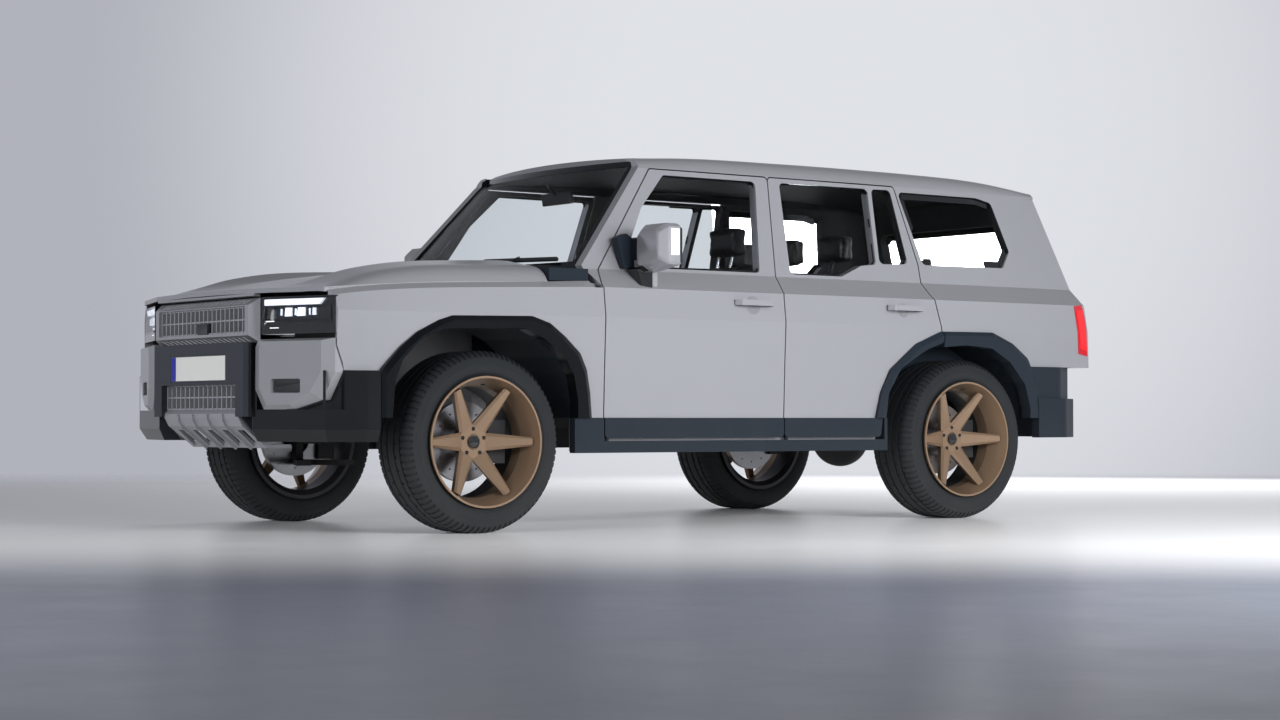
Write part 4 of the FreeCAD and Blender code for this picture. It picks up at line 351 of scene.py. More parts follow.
def principled(name, colour, roughness, metallic=0.0, coat=0.0, **constants):
    """A new material with one Principled BSDF and its constants set on the sockets."""
    material = bpy.data.materials.new(name)
    material.use_nodes = True
    shader = material.node_tree.nodes["Principled BSDF"]
    shader.inputs["Base Color"].default_value = (*colour, 1)
    shader.inputs["Roughness"].default_value = roughness
    shader.inputs["Metallic"].default_value = metallic
    shader.inputs["Coat Weight"].default_value = coat
    for label, value in constants.items():
        shader.inputs[label.replace("_", " ")].default_value = value
    return material


def add_grain(material, scale, strength, spread, dust=0.0):
    """Fine grain in bump, roughness and colour, and road dust where asked."""
    tree = material.node_tree
    shader = tree.nodes["Principled BSDF"]
    base = shader.inputs["Base Color"].default_value[:3]
    rough = shader.inputs["Roughness"].default_value
    grain = add_node(tree, "Group", node_tree=shared("grain", grain_group))
    grain.inputs["Scale"].default_value = scale
    mask = grain.outputs["Mask"]
    bump = add_node(tree, "Bump", {"Strength": strength, "Distance": GRAIN_DEPTH, "Height": grain.outputs["Height"]})
    colour = blend(tree, mask, (*[c * (1 - spread) for c in base], 1), (*[min(1, c * (1 + spread)) for c in base], 1))
    sheen = {"Value": mask, "To Min": max(0.02, rough - SHEEN_SPREAD), "To Max": min(1, rough + SHEEN_SPREAD)}
    roughness = add_node(tree, "MapRange", sheen)
    if dust:
        layer = add_node(tree, "Group", node_tree=shared("road dust", road_dust_group))
        feed(tree, layer, {"Amount": dust, "Colour": colour})
        roughness = add_node(tree, "Math", {0: roughness, 1: layer.outputs["Mask"]}, operation="ADD", use_clamp=True)
        colour = layer.outputs["Colour"]
    feed(tree, shader, {"Normal": bump, "Base Color": colour, "Roughness": roughness})
    return material


GRAIN_DEPTH = 0.0002
SHEEN_SPREAD = 0.06


def cabin_side_group():
    """A mask of the faces that look into the cabin, from their place and their direction."""
    group, start, end = new_group("cabin side", {"Sharpness": 40.0}, ("Mask",))
    place = add_node(group, "TexCoord")
    offset = add_node(group, "VectorMath", {0: place.outputs["Object"], 1: CABIN_MIDDLE}, operation="SUBTRACT")
    weigh = add_node(group, "VectorMath", {0: offset, 1: CABIN_WEIGHTS}, operation="MULTIPLY")
    facing = add_node(group, "VectorMath", {0: weigh, 1: place.outputs["Normal"]}, operation="DOT_PRODUCT")
    sharpen = add_node(group, "Math", {0: facing, 1: start["Sharpness"]}, operation="MULTIPLY")
    feed(group, end, {"Mask": add_node(group, "MapRange", {"Value": sharpen, "From Min": -1, "From Max": -3})})
    return group


CABIN_MIDDLE = (-0.6, 0, 0.80)
CABIN_WEIGHTS = (0.16, 1.2, 0.35)


def inboard_group():
    """A mask of what lies nearer the middle than a given half width."""
    group, start, end = new_group("inboard", {"Half width": 0.45}, ("Mask",))
    split = add_node(group, "SeparateXYZ", {0: object_place(group)})
    across = add_node(group, "Math", {0: split.outputs["Y"]}, operation="ABSOLUTE")
    inside = add_node(group, "Math", {0: across, 1: start["Half width"]}, operation="LESS_THAN")
    feed(group, end, {"Mask": inside})
    return group


def ahead_group():
    """A mask of what lies ahead of a given place."""
    group, start, end = new_group("ahead", {"From": 0.0}, ("Mask",))
    split = add_node(group, "SeparateXYZ", {0: object_place(group)})
    ahead = add_node(group, "Math", {0: split.outputs["X"], 1: start["From"]}, operation="GREATER_THAN")
    feed(group, end, {"Mask": ahead})
    return group


def second_finish(material, mask, colour, roughness, metallic=0.0, coat=0.0, **limits):
    """Turn the material into another finish where a mask group says so."""
    tree = material.node_tree
    shader = tree.nodes["Principled BSDF"]
    choice = add_node(tree, "Group", node_tree=mask)
    feed(tree, choice, {label.replace("_", " "): value for label, value in limits.items()})
    wanted = {"Base Color": (*colour, 1), "Roughness": roughness, "Metallic": metallic, "Coat Weight": coat}
    for label, value in wanted.items():
        socket = shader.inputs[label]
        mix = add_node(tree, "Mix", data_type="RGBA" if label == "Base Color" else "FLOAT")
        factor, first, second = [pin for pin in mix.inputs if pin.enabled]
        if socket.is_linked:
            tree.links.new(socket.links[0].from_socket, first)
        else:
            first.default_value = socket.default_value
        second.default_value = value
        tree.links.new(choice.outputs["Mask"], factor)
        feed(tree, shader, {label: mix})
    return material


# Plain finishes: a colour or the name of its setting, roughness, metallic, coat, grain's scale, strength and
# spread, and road dust
FINISHES = {
    "satin panel": ("satin", 0.36, 0.3, 0, 1200, 0.05, 0.05, 0.1),
    "dark chrome": ((0.10, 0.10, 0.11), 0.25, 1, 0, 900, 0.02, 0.05, 0),
    "lamp black": ((0.010, 0.011, 0.013), 0.16, 0, 0.4, 700, 0.03, 0.1, 0),
    "gloss black": ("gloss", 0.10, 0, 0.6, 500, 0.02, 0.10, 0.10),
    "tyre rubber": ("rubber", 0.62, 0, 0, 700, 0.30, 0.20, 0.20),
    "skid metal": ((0.36, 0.37, 0.40), 0.38, 0.4, 0, 1200, 0.06, 0.06, 0.2),
    "black metal": ((0.016, 0.017, 0.019), 0.5, 0, 0, 600, 0.2, 0.2, 0.3),
    "cast metal": ((0.30, 0.30, 0.31), 0.55, 0.8, 0, 300, 0.4, 0.15, 0.3),
    "disc iron": ((0.42, 0.42, 0.43), 0.3, 1, 0, 1500, 0.08, 0.10, 0),
    "cabin plastic": ("trim", 0.55, 0, 0, 1100, 0.3, 0.15, 0),
    "seat leather": ("trim", 0.48, 0, 0, 650, 0.35, 0.2, 0),
    "chrome": ((0.75, 0.76, 0.78), 0.12, 1, 0, 900, 0.01, 0.02, 0),
    "white plate": ((0.72, 0.72, 0.70), 0.35, 0, 0, 1500, 0.03, 0.02, 0),
    "blue band": ((0.006, 0.012, 0.30), 0.35, 0, 0, 1500, 0.03, 0.02, 0),
    "red lens": ((0.42, 0.006, 0.012), 0.10, 0, 0.6, 800, 0.02, 0.08, 0),
    "white lamp": ((0.85, 0.87, 0.9), 0.25, 0, 0, 900, 0.02, 0.02, 0),
    "red glow": ((0.60, 0.010, 0.015), 0.18, 0, 0.4, 800, 0.02, 0.08, 0),
}
GLOWS = {"white lamp": ((0.85, 0.9, 1.0, 1), 0.6), "red glow": ((1.0, 0.02, 0.02, 1), 0.25)}
GLASSES = {"clear glass": (0.90, 0.92, 0.93), "lamp glass": (0.92, 0.94, 0.96)}
CLADDING_GRAIN = {"scale": 900, "strength": 0.25, "spread": 0.12, "dust": 0.15}


def finishes():
    """Every material of the vehicle, by its plain name."""
    made = bpy.data.materials
    if "body paint" in made:
        return made
    tint = bpy.context.scene.estate_colours
    for name in ("body paint", "lined paint"):
        paint = principled(name, tint.paint, 0.34, metallic=0.45, coat=0.35, Coat_Roughness=0.12)
        add_grain(paint, 1400, 0.05, 0.03, dust=0.10)
    second_finish(made["lined paint"], shared("cabin side", cabin_side_group), tint.trim, 0.6)
    for name in ("cladding", "flares"):
        add_grain(principled(name, tint.cladding, 0.45, Specular_IOR_Level=0.2), **CLADDING_GRAIN)
    second_finish(made["flares"], shared("ahead", ahead_group), tint.gloss, 0.20, coat=0.1)
    bumper = principled("bumper", tint.gloss, 0.16, coat=0.15, Specular_IOR_Level=0.3)
    inboard = shared("inboard", inboard_group)
    second_finish(add_grain(bumper, 500, 0.03, 0.10, dust=0.08), inboard, tint.satin, 0.36, metallic=0.3)
    rim = add_grain(principled("bronze", tint.bronze, 0.34, metallic=0.6, coat=0.2), 1800, 0.05, 0.05, dust=0.06)
    # Painted shade: the rim's inner barrel, inboard of 0.79 m, is coloured dark grey for the shade inside the wheel
    second_finish(rim, inboard, (0.06, 0.06, 0.065), 0.42, metallic=0.7, Half_width=0.790)
    for name, (colour, roughness, metallic, coat, scale, strength, spread, dust) in FINISHES.items():
        colour = getattr(tint, colour) if isinstance(colour, str) else colour
        add_grain(principled(name, colour, roughness, metallic, coat), scale, strength, spread, dust)
    for name, (colour, strength) in GLOWS.items():
        tree = made[name].node_tree
        feed(tree, tree.nodes["Principled BSDF"], {"Emission Color": colour, "Emission Strength": strength})
    for name, colour in GLASSES.items():
        add_glass_film(principled(name, colour, 0.02, Transmission_Weight=1.0, IOR=1.08))
    return made


def add_glass_film(material):
    """A faint uneven film on the glass, in its roughness."""
    tree = material.node_tree
    noise = add_node(tree, "TexNoise", {"Vector": object_place(tree), "Scale": 6, "Detail": 4})
    film = add_node(tree, "MapRange", {"Value": noise, "To Min": 0.0, "To Max": 0.03})
    feed(tree, tree.nodes["Principled BSDF"], {"Roughness": film})


NODE_FINISHES = {
    "body_paint": "body paint", "glass": "clear glass", "dark_plastic": "cladding",
    "gloss_plastic": "gloss black", "lamp": "gloss black", "red_lamp": "red lens",
    "skid_metal": "skid metal", "tyre": "tyre rubber", "rim": "bronze", "iron": "disc iron",
    "black_metal": "black metal", "engine_metal": "cast metal", "trim": "seat leather",
    "cabin_plastic": "cabin plastic",
}


OWN_FINISHES = {
    "front_bumper": "bumper", "arch_flares": "flares", "roof": "lined paint", "tailgate": "lined paint",
    "side_left": "lined paint", "side_right": "lined paint",
    "door_front_left": "lined paint", "door_front_right": "lined paint",
    "door_rear_left": "lined paint", "door_rear_right": "lined paint",
}


class ESTATE_OT_paint(bpy.types.Operator):
    """Give every solid of the frame its finish."""

    bl_idname = "estate.paint"
    bl_label = "Paint the frame"

    def execute(self, context):
        kinds = finishes()
        slots = {entry["node"]: entry["material_slot"] for entry in frame["record"]["subparts"]}
        for name, item in frame["nodes"].items():
            finish = kinds[OWN_FINISHES.get(name) or NODE_FINISHES[slots[name]]]
            item.data.materials.clear()
            item.data.materials.append(finish)
        return {"FINISHED"}


# Tyres and wheels


# The tyre's outer section from the bead to the middle of the tread: distance from the axle and half width
TYRE_SECTION = (
    (0.2682, 0.1095), (0.2725, 0.1180), (0.2845, 0.1298), (0.2960, 0.1350), (0.2975, 0.1366), (0.3000, 0.1370),
    (0.3015, 0.1368), (0.3030, 0.1388), (0.3180, 0.1430), (0.3277, 0.1444), (0.3380, 0.1441), (0.3395, 0.1430),
    (0.3425, 0.1428), (0.3440, 0.1434), (0.3560, 0.1412), (0.3671, 0.1379), (0.3760, 0.1300), (0.3839, 0.1198),
    (0.3905, 0.1085), (0.3949, 0.0950), (0.3949, 0.0790), (0.3885, 0.0775), (0.3885, 0.0695), (0.3949, 0.0680),
    (0.3949, 0.0500), (0.3949, 0.0330), (0.3885, 0.0315), (0.3885, 0.0235), (0.3949, 0.0220), (0.3949, 0.0),
)
TREAD_STEPS = 252


def spun(name, section, centre, steps=96):
    """A closed ring turned about the Y axis from a section of distances and widths."""
    piece = new_outline(name, [(centre[0], centre[1] + along, centre[2] + across) for across, along in section])
    pick(piece, "FACE", lambda face: True)
    bpy.ops.mesh.delete(type="ONLY_FACE")
    pick(piece, "EDGE", lambda edge: True)
    bpy.ops.mesh.spin(steps=steps, angle=math.tau, center=centre, axis=(0, 1, 0))
    return mend_normals(piece)


def tyre_piece():
    """A road tyre about the origin: ringed sidewalls, grooved tread and shoulder sipes."""
    outer = list(TYRE_SECTION) + [(across, -along) for across, along in reversed(TYRE_SECTION[:-1])]
    inner = [(0.2690, -0.1010), (0.3100, -0.1290), (0.3600, -0.1240), (0.3800, -0.0900),
             (0.3800, 0.0900), (0.3600, 0.1240), (0.3100, 0.1290), (0.2690, 0.1010)]
    tyre = spun("tyre", outer + inner, (0, 0, 0), TREAD_STEPS)
    pitch = math.tau / (TREAD_STEPS / 3)

    def sipe(face):
        middle = face.calc_center_median()
        reach = math.hypot(middle.x, middle.z)
        turn = math.atan2(middle.z, middle.x) % pitch
        return 0.3700 < reach and 0.0790 < abs(middle.y) < 0.1345 and turn < pitch / 3

    def outward(face):
        middle = face.calc_center_median()
        return face.normal.x * middle.x + face.normal.z * middle.z > 0

    pick(tyre, "FACE", lambda face: sipe(face) and outward(face))
    bpy.ops.mesh.extrude_region_shrink_fatten(TRANSFORM_OT_shrink_fatten={"value": -0.0042})
    pick(tyre, "FACE", lambda face: mid_sipe(face, pitch) and outward(face))
    bpy.ops.mesh.extrude_region_shrink_fatten(TRANSFORM_OT_shrink_fatten={"value": -0.0035})
    clear_selection()
    return tyre


def mid_sipe(face, pitch):
    """Whether a face lies in a cross cut of one of the tread's two middle ribs."""
    middle = face.calc_center_median()
    turn = (math.atan2(middle.z, middle.x) + pitch / 2) % (2 * pitch)
    return math.hypot(middle.x, middle.z) > 0.3945 and 0.0345 < abs(middle.y) < 0.0490 and turn < pitch / 3


class ESTATE_OT_tyres(bpy.types.Operator):
    """Put a treaded road tyre on each wheel in place of its plain solid."""

    bl_idname = "estate.tyres"
    bl_label = "Fit the tyres"

    def execute(self, context):
        first = tyre_piece()
        for name in WHEELS:
            low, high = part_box("tyre_" + name)
            tyre = copied(first, "road_tyre_" + name, Matrix.Translation((low + high) / 2))
            complete(tyre, "tyre rubber", "wheel_" + name, angle=28)
            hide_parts("tyre_" + name)
        bpy.data.objects.remove(first)
        return {"FINISHED"}


class ESTATE_OT_wheel_trim(bpy.types.Operator):
    """Add each wheel's blank centre cap, wheel nuts and valve."""

    bl_idname = "estate.wheel_trim"
    bl_label = "Add the wheel trim"

    def execute(self, context):
        face = 0.0405
        cap = new_round("centre_cap", (0, face + 0.004, 0), 0.0275, 0.008)
        dish(cap, looks("y", 0.9), 0.005, (0, -0.0022, 0))
        bpy.ops.mesh.inset(thickness=0.005)
        bpy.ops.transform.translate(value=(0, 0.0014, 0))
        modify(cap, "BEVEL", width=0.0008, segments=2, limit_method="ANGLE")
        nut = new_round("wheel_nut", (0, face - 0.008, 0.057), 0.0082, 0.022, sides=6)
        dish(nut, looks("y", 0.9), 0.0022, (0, 0.0016, 0))
        bpy.ops.mesh.inset(thickness=0.0014)
        bpy.ops.transform.translate(value=(0, -0.0030, 0))
        modify(nut, "BEVEL", width=0.0005, segments=2, limit_method="ANGLE")
        valve = new_round("valve", (0, 0.116, 0.2475), 0.0036, 0.026, sides=16)
        pick(valve, "FACE", looks("y", 0.9))
        bpy.ops.mesh.inset(thickness=0.0012)
        bpy.ops.mesh.extrude_region_move(TRANSFORM_OT_translate={"value": (0, 0.005, 0)})
        for name in WHEELS:
            low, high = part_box("rim_" + name)
            place = Matrix.Translation((low + high) / 2)
            if name.endswith("right"):
                place = place @ Matrix.Rotation(math.pi, 4, "Z")
            body = "wheel_" + name
            complete(copied(cap, "centre_cap_" + name, place), "gloss black", body)
            complete(copied(valve, "valve_" + name, place), "black metal", body, slot="black_metal")
            for index in range(5):
                turned = place @ Matrix.Rotation(math.tau * index / 5, 4, "Y")
                complete(copied(nut, "wheel_nut_%s_%d" % (name, index + 1), turned), "dark chrome", body,
                         slot="black_metal")
        for piece in (cap, nut, valve):
            bpy.data.objects.remove(piece)
        return {"FINISHED"}


# Nose


NOSE_X = 2.41
HALF_WIDTH = 0.95
CORNER_START = 0.5
CORNER_SPAN = 0.453
CORNER_SWEEP = 0.15215
CORNER_TURN = math.atan(CORNER_SWEEP / (CORNER_SPAN * HALF_WIDTH))
BAND_WIDTH = 0.046
HOLDER_RIM = 0.004


def corner_place(y, inset, z):
    """A point on the nose's left corner facet, an inset behind its face."""
    return (NOSE_X - inset - CORNER_SWEEP * (y / HALF_WIDTH - CORNER_START) / CORNER_SPAN, y, z)


def corner_block(name, y0, y1, z0, z1, inset, deep):
    """A block laid on the left corner facet between two places along it."""
    middle = (y0 + y1) / 2
    x, y, z = corner_place(middle, inset + deep / 2, (z0 + z1) / 2)
    half = (y1 - y0) / 2 / math.cos(CORNER_TURN)
    return new_block(name, (x - deep / 2, y - half, z0), (x + deep / 2, y + half, z1), (0, 0, CORNER_TURN))


class ESTATE_OT_nose(bpy.types.Operator):
    """Back both grilles and add the sensor, the blank plate and the fog lamps."""

    bl_idname = "estate.nose"
    bl_label = "Dress the nose"

    def execute(self, context):
        self.backing("upper_grille_mesh", 0.4115, 0.866, 0.976)
        self.backing("lower_grille_mesh", 0.3545, 0.536, 0.642)
        self.sensor()
        self.plate("front_plate", (2.4061, -0.26, 0.663), (2.4096, 0.26, 0.769))
        self.fog_lamp()
        return {"FINISHED"}

    def backing(self, name, half, low, high):
        """A dark ribbed panel behind a grille."""
        panel = new_block(name, (2.338, -half, low), (2.350, half, high))
        dish(panel, looks("x", 0.85), 0.006, (-0.004, 0, 0))
        bpy.ops.mesh.subdivide(number_cuts=14)
        pick(panel, "EDGE", lambda edge: edge.verts[0].co.x > 2.34 and abs(edge.verts[0].co.z - edge.verts[1].co.z)
             < 0.0001 and int(round((edge.verts[0].co.z - low) * 1000)) % 2)
        bpy.ops.transform.translate(value=(-0.002, 0, 0))
        complete(panel, "cladding", "car")

    def sensor(self):
        """The small sensor block at the foot of the upper grille."""
        box = new_block("nose_sensor", (2.352, -0.047, 0.8645), (2.389, 0.047, 0.913))
        dish(box, looks("x", 0.85), 0.005, (-0.002, 0, 0))
        complete(box, "satin panel", "car", bevel=0.0025, segments=3)

    def plate(self, name, low, high):
        """A blank plate with a raised rim and a blue band, in a thin black holder."""
        plate = new_block(name, low, high)
        dish(plate, looks("x", 0.9), 0.0035, (-0.0008, 0, 0))
        edge = low[1] + BAND_WIDTH
        pick(plate, "FACE", lambda face: True)
        bpy.ops.mesh.bisect(plane_co=(low[0], edge, 0), plane_no=(0, 1, 0))
        clear_selection()
        two_tone(plate, "white plate", "blue band", lambda face: face.calc_center_median().y < edge)
        complete(plate, "white plate", "car", bevel=0.0006)
        y0, y1, z0, z1 = low[1] - HOLDER_RIM, high[1] + HOLDER_RIM, low[2] - HOLDER_RIM, high[2] + HOLDER_RIM
        holder = new_outline(name + "_holder", [(low[0], y, z) for y, z in ((y0, z0), (y1, z0), (y1, z1), (y0, z1))])
        pick(holder, "FACE", lambda face: True)
        bpy.ops.mesh.inset(thickness=0.0036)
        bpy.ops.mesh.delete(type="FACE")
        modify(holder, "SOLIDIFY", thickness=0.003, offset=1.0)
        mend_normals(holder)
        complete(holder, "gloss black", "car")

    def fog_lamp(self):
        """A dark lens with two small lamps in each corner panel's recess."""
        lens = corner_block("fog_lamp", 0.5985, 0.7445, 0.607, 0.661, 0.0115, 0.011)
        pick(lens, "EDGE", lambda edge: abs(edge.verts[0].co.z - edge.verts[1].co.z) < 0.0001
             and abs(edge.verts[0].co.y - edge.verts[1].co.y) < 0.01)
        bpy.ops.mesh.bevel(offset=0.014, segments=6)
        dish(lens, looks("x", 0.85), 0.006, (-0.003, 0, 0))
        on_both_sides(lens, "fog_lamp", "lamp black", bevel=0.0012)
        for place in (0.640, 0.712):
            bulb = corner_block("fog_bulb", place - 0.016, place + 0.016, 0.620, 0.648, 0.0135, 0.004)
            dish(bulb, looks("x", 0.85), 0.006, (-0.0025, 0, 0))
            on_both_sides(bulb, "fog_bulb_%d" % round(place * 1000), "lamp glass", bevel=0.001)


# The lamps' bright blocks: place of the inner and the outer edge, and height
PROJECTORS = ((0.6030, 0.6075, 0.028), (0.6290, 0.6600, 0.036), (0.6780, 0.6830, 0.028),
              (0.6940, 0.7300, 0.036), (0.7530, 0.7570, 0.028), (0.7720, 0.7860, 0.030))
PROJECTOR_HEIGHT = 0.9465


class ESTATE_OT_headlamps(bpy.types.Operator):
    """Fill the headlamps with their light bar, projectors and clear covers."""

    bl_idname = "estate.headlamps"
    bl_label = "Fill the headlamps"

    def execute(self, context):
        bar = corner_block("light_bar", 0.5245, 0.838, 0.976, 1.0015, 0.030, 0.016)
        pick(bar, "VERT", lambda corner: corner.co.y > 0.8 and corner.co.z < 0.98)
        bpy.ops.transform.translate(value=(0.008, -0.026, 0))
        dish(bar, looks("x", 0.85), 0.003, (-0.0015, 0, 0))
        on_both_sides(bar, "light_bar", "white lamp", bevel=0.0008)
        for index, (inner, outer, tall) in enumerate(PROJECTORS):
            low, high = PROJECTOR_HEIGHT - tall / 2, PROJECTOR_HEIGHT + tall / 2
            block = corner_block("projector", inner, outer, low, high, 0.0380, 0.012)
            pick(block, "VERT", lambda corner: corner.co.y < (inner + outer) / 2 and corner.co.z < PROJECTOR_HEIGHT)
            bpy.ops.transform.translate(value=(0, (inner - outer) * 0.28, 0))
            dish(block, looks("x", 0.85), min(0.003, (outer - inner) * 0.2), (-0.002, 0, 0))
            on_both_sides(block, "projector_%d" % (index + 1), "white lamp", bevel=0.0006)
        housing = corner_block("projector_housing", 0.545, 0.862, 0.910, 0.9715, 0.0425, 0.009)
        dish(housing, looks("x", 0.85), 0.004, (-0.003, 0, 0))
        bpy.ops.mesh.subdivide(number_cuts=5)
        on_both_sides(housing, "projector_housing", "lamp black", bevel=0.0012)
        for index, (inner, outer, height) in enumerate(((0.538, 0.580, 0.906), (0.560, 0.606, 0.878))):
            mark = corner_block("lamp_mark", inner, outer, height, height + 0.004, 0.0255, 0.006)
            pick(mark, "FACE", looks("x", 0.85))
            bpy.ops.mesh.inset(thickness=0.001)
            on_both_sides(mark, "lamp_mark_%d" % (index + 1), "white lamp", bevel=0.0005)
        cover = corner_block("lamp_cover", 0.5235, 0.8945, 0.8975, 1.0065, 0.0285, 0.002)
        pick(cover, "FACE", looks("x", 0.85))
        bpy.ops.mesh.subdivide(number_cuts=2)
        on_both_sides(cover, "lamp_cover", "lamp glass", slot="glass")
        return {"FINISHED"}


# Windows


def pane_outline(node, test, across):
    """The outline of one pane of a glass node, seen along an axis, as pairs of places."""
    corners = [corner.co for corner in frame["nodes"][node].data.vertices if test(corner.co)]
    flat = [Vector((corner[across], corner.z)) for corner in corners]
    return [flat[index] for index in convex_hull_2d(flat)]


def border(name, node, points, axis, way, width, wall, body):
    """A black band round a pane, laid on the outer side of the glass."""
    far = way * (1.2 if axis == "Y" else 3.0)
    band = new_outline(name, [(x, far, z) if axis == "Y" else (far, x, z) for x, z in points])
    pick(band, "FACE", lambda face: True)
    bpy.ops.mesh.inset(thickness=width)
    bpy.ops.mesh.delete(type="FACE")
    lay_on(band, node, axis, way, 0.0004, wall, "gloss black", body)


def lay_on(band, node, axis, way, lift, wall, finish, body):
    """Project a flat shape onto a node from outside, give it a wall and finish it."""
    for span in (0.30, 0.12, 0.06):
        pick(band, "EDGE", lambda edge: edge.calc_length() > span)
        bpy.ops.mesh.subdivide(number_cuts=1)
    modify(band, "SHRINKWRAP", target=frame["nodes"][node], wrap_method="PROJECT", use_project_x=axis == "X",
           use_project_y=axis == "Y", use_project_z=False, use_negative_direction=way > 0,
           use_positive_direction=way < 0)
    stray = 1.1 if axis == "Y" else 2.5
    outwards = Vector((0, way, 0)) if axis == "Y" else Vector((way, 0, 0))
    pick(band, "VERT", lambda corner: abs(corner.co.y if axis == "Y" else corner.co.x) > stray)
    bpy.ops.mesh.delete(type="VERT")
    clear_selection()
    band.data.transform(Matrix.Translation(outwards * lift))
    band.data.update()
    pick(band, "FACE", lambda face: face.normal.dot(outwards) < 0)
    bpy.ops.mesh.flip_normals()
    modify(band, "SOLIDIFY", thickness=wall, offset=1.0)
    complete(band, finish, body)


class ESTATE_OT_windows(bpy.types.Operator):
    """Lay black borders and seals on every pane."""

    bl_idname = "estate.windows"
    bl_label = "Border the windows"

    def execute(self, context):
        def main_pane(place):
            return place.x + 0.096 * (place.z - 1.276) > -0.878

        panes = (("front", "front", lambda place: True), ("rear", "rear", main_pane),
                 ("rear_small", "rear", lambda place: not main_pane(place)))
        for side, way in SIDES:
            for name, door, test in panes:
                node = "door_glass_%s_%s" % (door, side)
                border("seal_%s_%s" % (name, side), node, pane_outline(node, test, 0), "Y", way, 0.008, 0.003,
                       "%s_door_%s" % (door, side))
            points = pane_outline("fixed_glass", lambda place: place.x < -1.0 and place.y * way > 0, 0)
            border("quarter_border_" + side, "fixed_glass", points, "Y", way, 0.034, 0.002, "car")
        points = pane_outline("fixed_glass", lambda place: place.x > 0, 1)
        border("windscreen_border", "fixed_glass", points, "X", 1, 0.030, 0.001, "car")
        points = pane_outline("tailgate_glass", lambda place: True, 1)
        border("tail_screen_border", "tailgate_glass", points, "X", -1, 0.032, 0.001, "tail_door")
        return {"FINISHED"}


class ESTATE_OT_mirrors(bpy.types.Operator):
    """Rebuild the mirrors with black rims and feet, glasses, reflectors and sail panels."""

    bl_idname = "estate.mirrors"
    bl_label = "Dress the mirrors"

    def execute(self, context):
        bodies = ("front_door_left", "front_door_right")
        low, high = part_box("mirror_left")
        head = copied(frame["nodes"]["mirror_left"], "mirror_head", Matrix.Identity(4))
        mend_normals(head)
        pick(head, "VERT", lambda corner: corner.co.y > high.y - 0.0006)
        bpy.ops.transform.translate(value=(0, -0.0035, 0))
        clear_selection()

        def rim_or_foot(face):
            middle = face.calc_center_median()
            return middle.x < low.x + 0.014 or (middle.z < low.z + 0.035 and middle.y < low.y + 0.14)

        two_tone(head, "body paint", "gloss black", rim_or_foot)
        twin = copied(head, "mirror_head_right", MIRROR, flip=True)
        head.name = "mirror_head_left"
        for piece, side, body in ((head, "left", bodies[0]), (twin, "right", bodies[1])):
            complete(piece, "body paint", body, angle=24)
            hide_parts("mirror_" + side)
        glass = new_block("mirror_glass", (low.x - 0.0002, low.y + 0.100, low.z + 0.024),
                          (low.x + 0.0034, high.y - 0.020, high.z - 0.022))
        pick(glass, "EDGE", lambda edge: abs(edge.verts[0].co.x - edge.verts[1].co.x) > 0.002)
        bpy.ops.mesh.bevel(offset=0.022, segments=6)
        dish(glass, looks("x", -0.9), 0.004, (0.001, 0, 0))
        on_both_sides(glass, "mirror_glass", "chrome", bodies, bevel=0.0004)
        lens = new_block("mirror_lamp", (low.x + 0.022, high.y - 0.012, low.z + 0.072),
                         (low.x + 0.066, high.y - 0.0002, high.z - 0.026))
        dish(lens, looks("y", 0.9), 0.007, (0, -0.002, 0))
        on_both_sides(lens, "mirror_lamp", "white lamp", bodies, bevel=0.0016, segments=3)
        foot = new_block("mirror_foot", (low.x + 0.030, 0.850, 1.088), (high.x + 0.002, 0.930, 1.1745))
        pick(foot, "VERT", lambda corner: corner.co.z < 1.1 and corner.co.x > high.x - 0.01)
        bpy.ops.transform.translate(value=(-0.030, 0, 0.012))
        dish(foot, looks("y", 0.9), 0.005, (0, -0.002, 0))
        on_both_sides(foot, "mirror_foot", "gloss black", bodies, bevel=0.005, segments=3)
        block = new_block("mirror_step", (low.x - 0.002, 0.846, 1.096), (low.x + 0.034, 0.924, 1.1735))
        dish(block, looks("y", 0.9), 0.004, (0, -0.001, 0))
        on_both_sides(block, "mirror_step", "body paint", bodies, bevel=0.005, segments=3)
        sail = new_outline("mirror_sail", [(x, 0.866, z) for x, z in (
            (0.716, 1.178), (0.640, 1.178), (0.640, 1.300), (0.700, 1.338), (0.752, 1.316))])
        modify(sail, "SOLIDIFY", thickness=0.050, offset=-1.0)
        mend_normals(sail)
        dish(sail, looks("y", 0.9), 0.008, (0, 0.002, 0))
        on_both_sides(sail, "mirror_sail", "cladding", bodies, bevel=0.005, segments=3)
        return {"FINISHED"}


# Wipers


def bar_between(name, start, end, wide, tall, lean=0.0):
    """A slim bar from one place to another, turned about its own length."""
    start, end = Vector(start), Vector(end)
    bar = new_block(name, (0, -wide / 2, -tall / 2), ((end - start).length, wide / 2, tall / 2))
    turn = (end - start).to_track_quat("X", "Z").to_matrix().to_4x4()
    bar.data.transform(Matrix.Translation(start) @ turn @ Matrix.Rotation(lean, 4, "X"))
    return bar


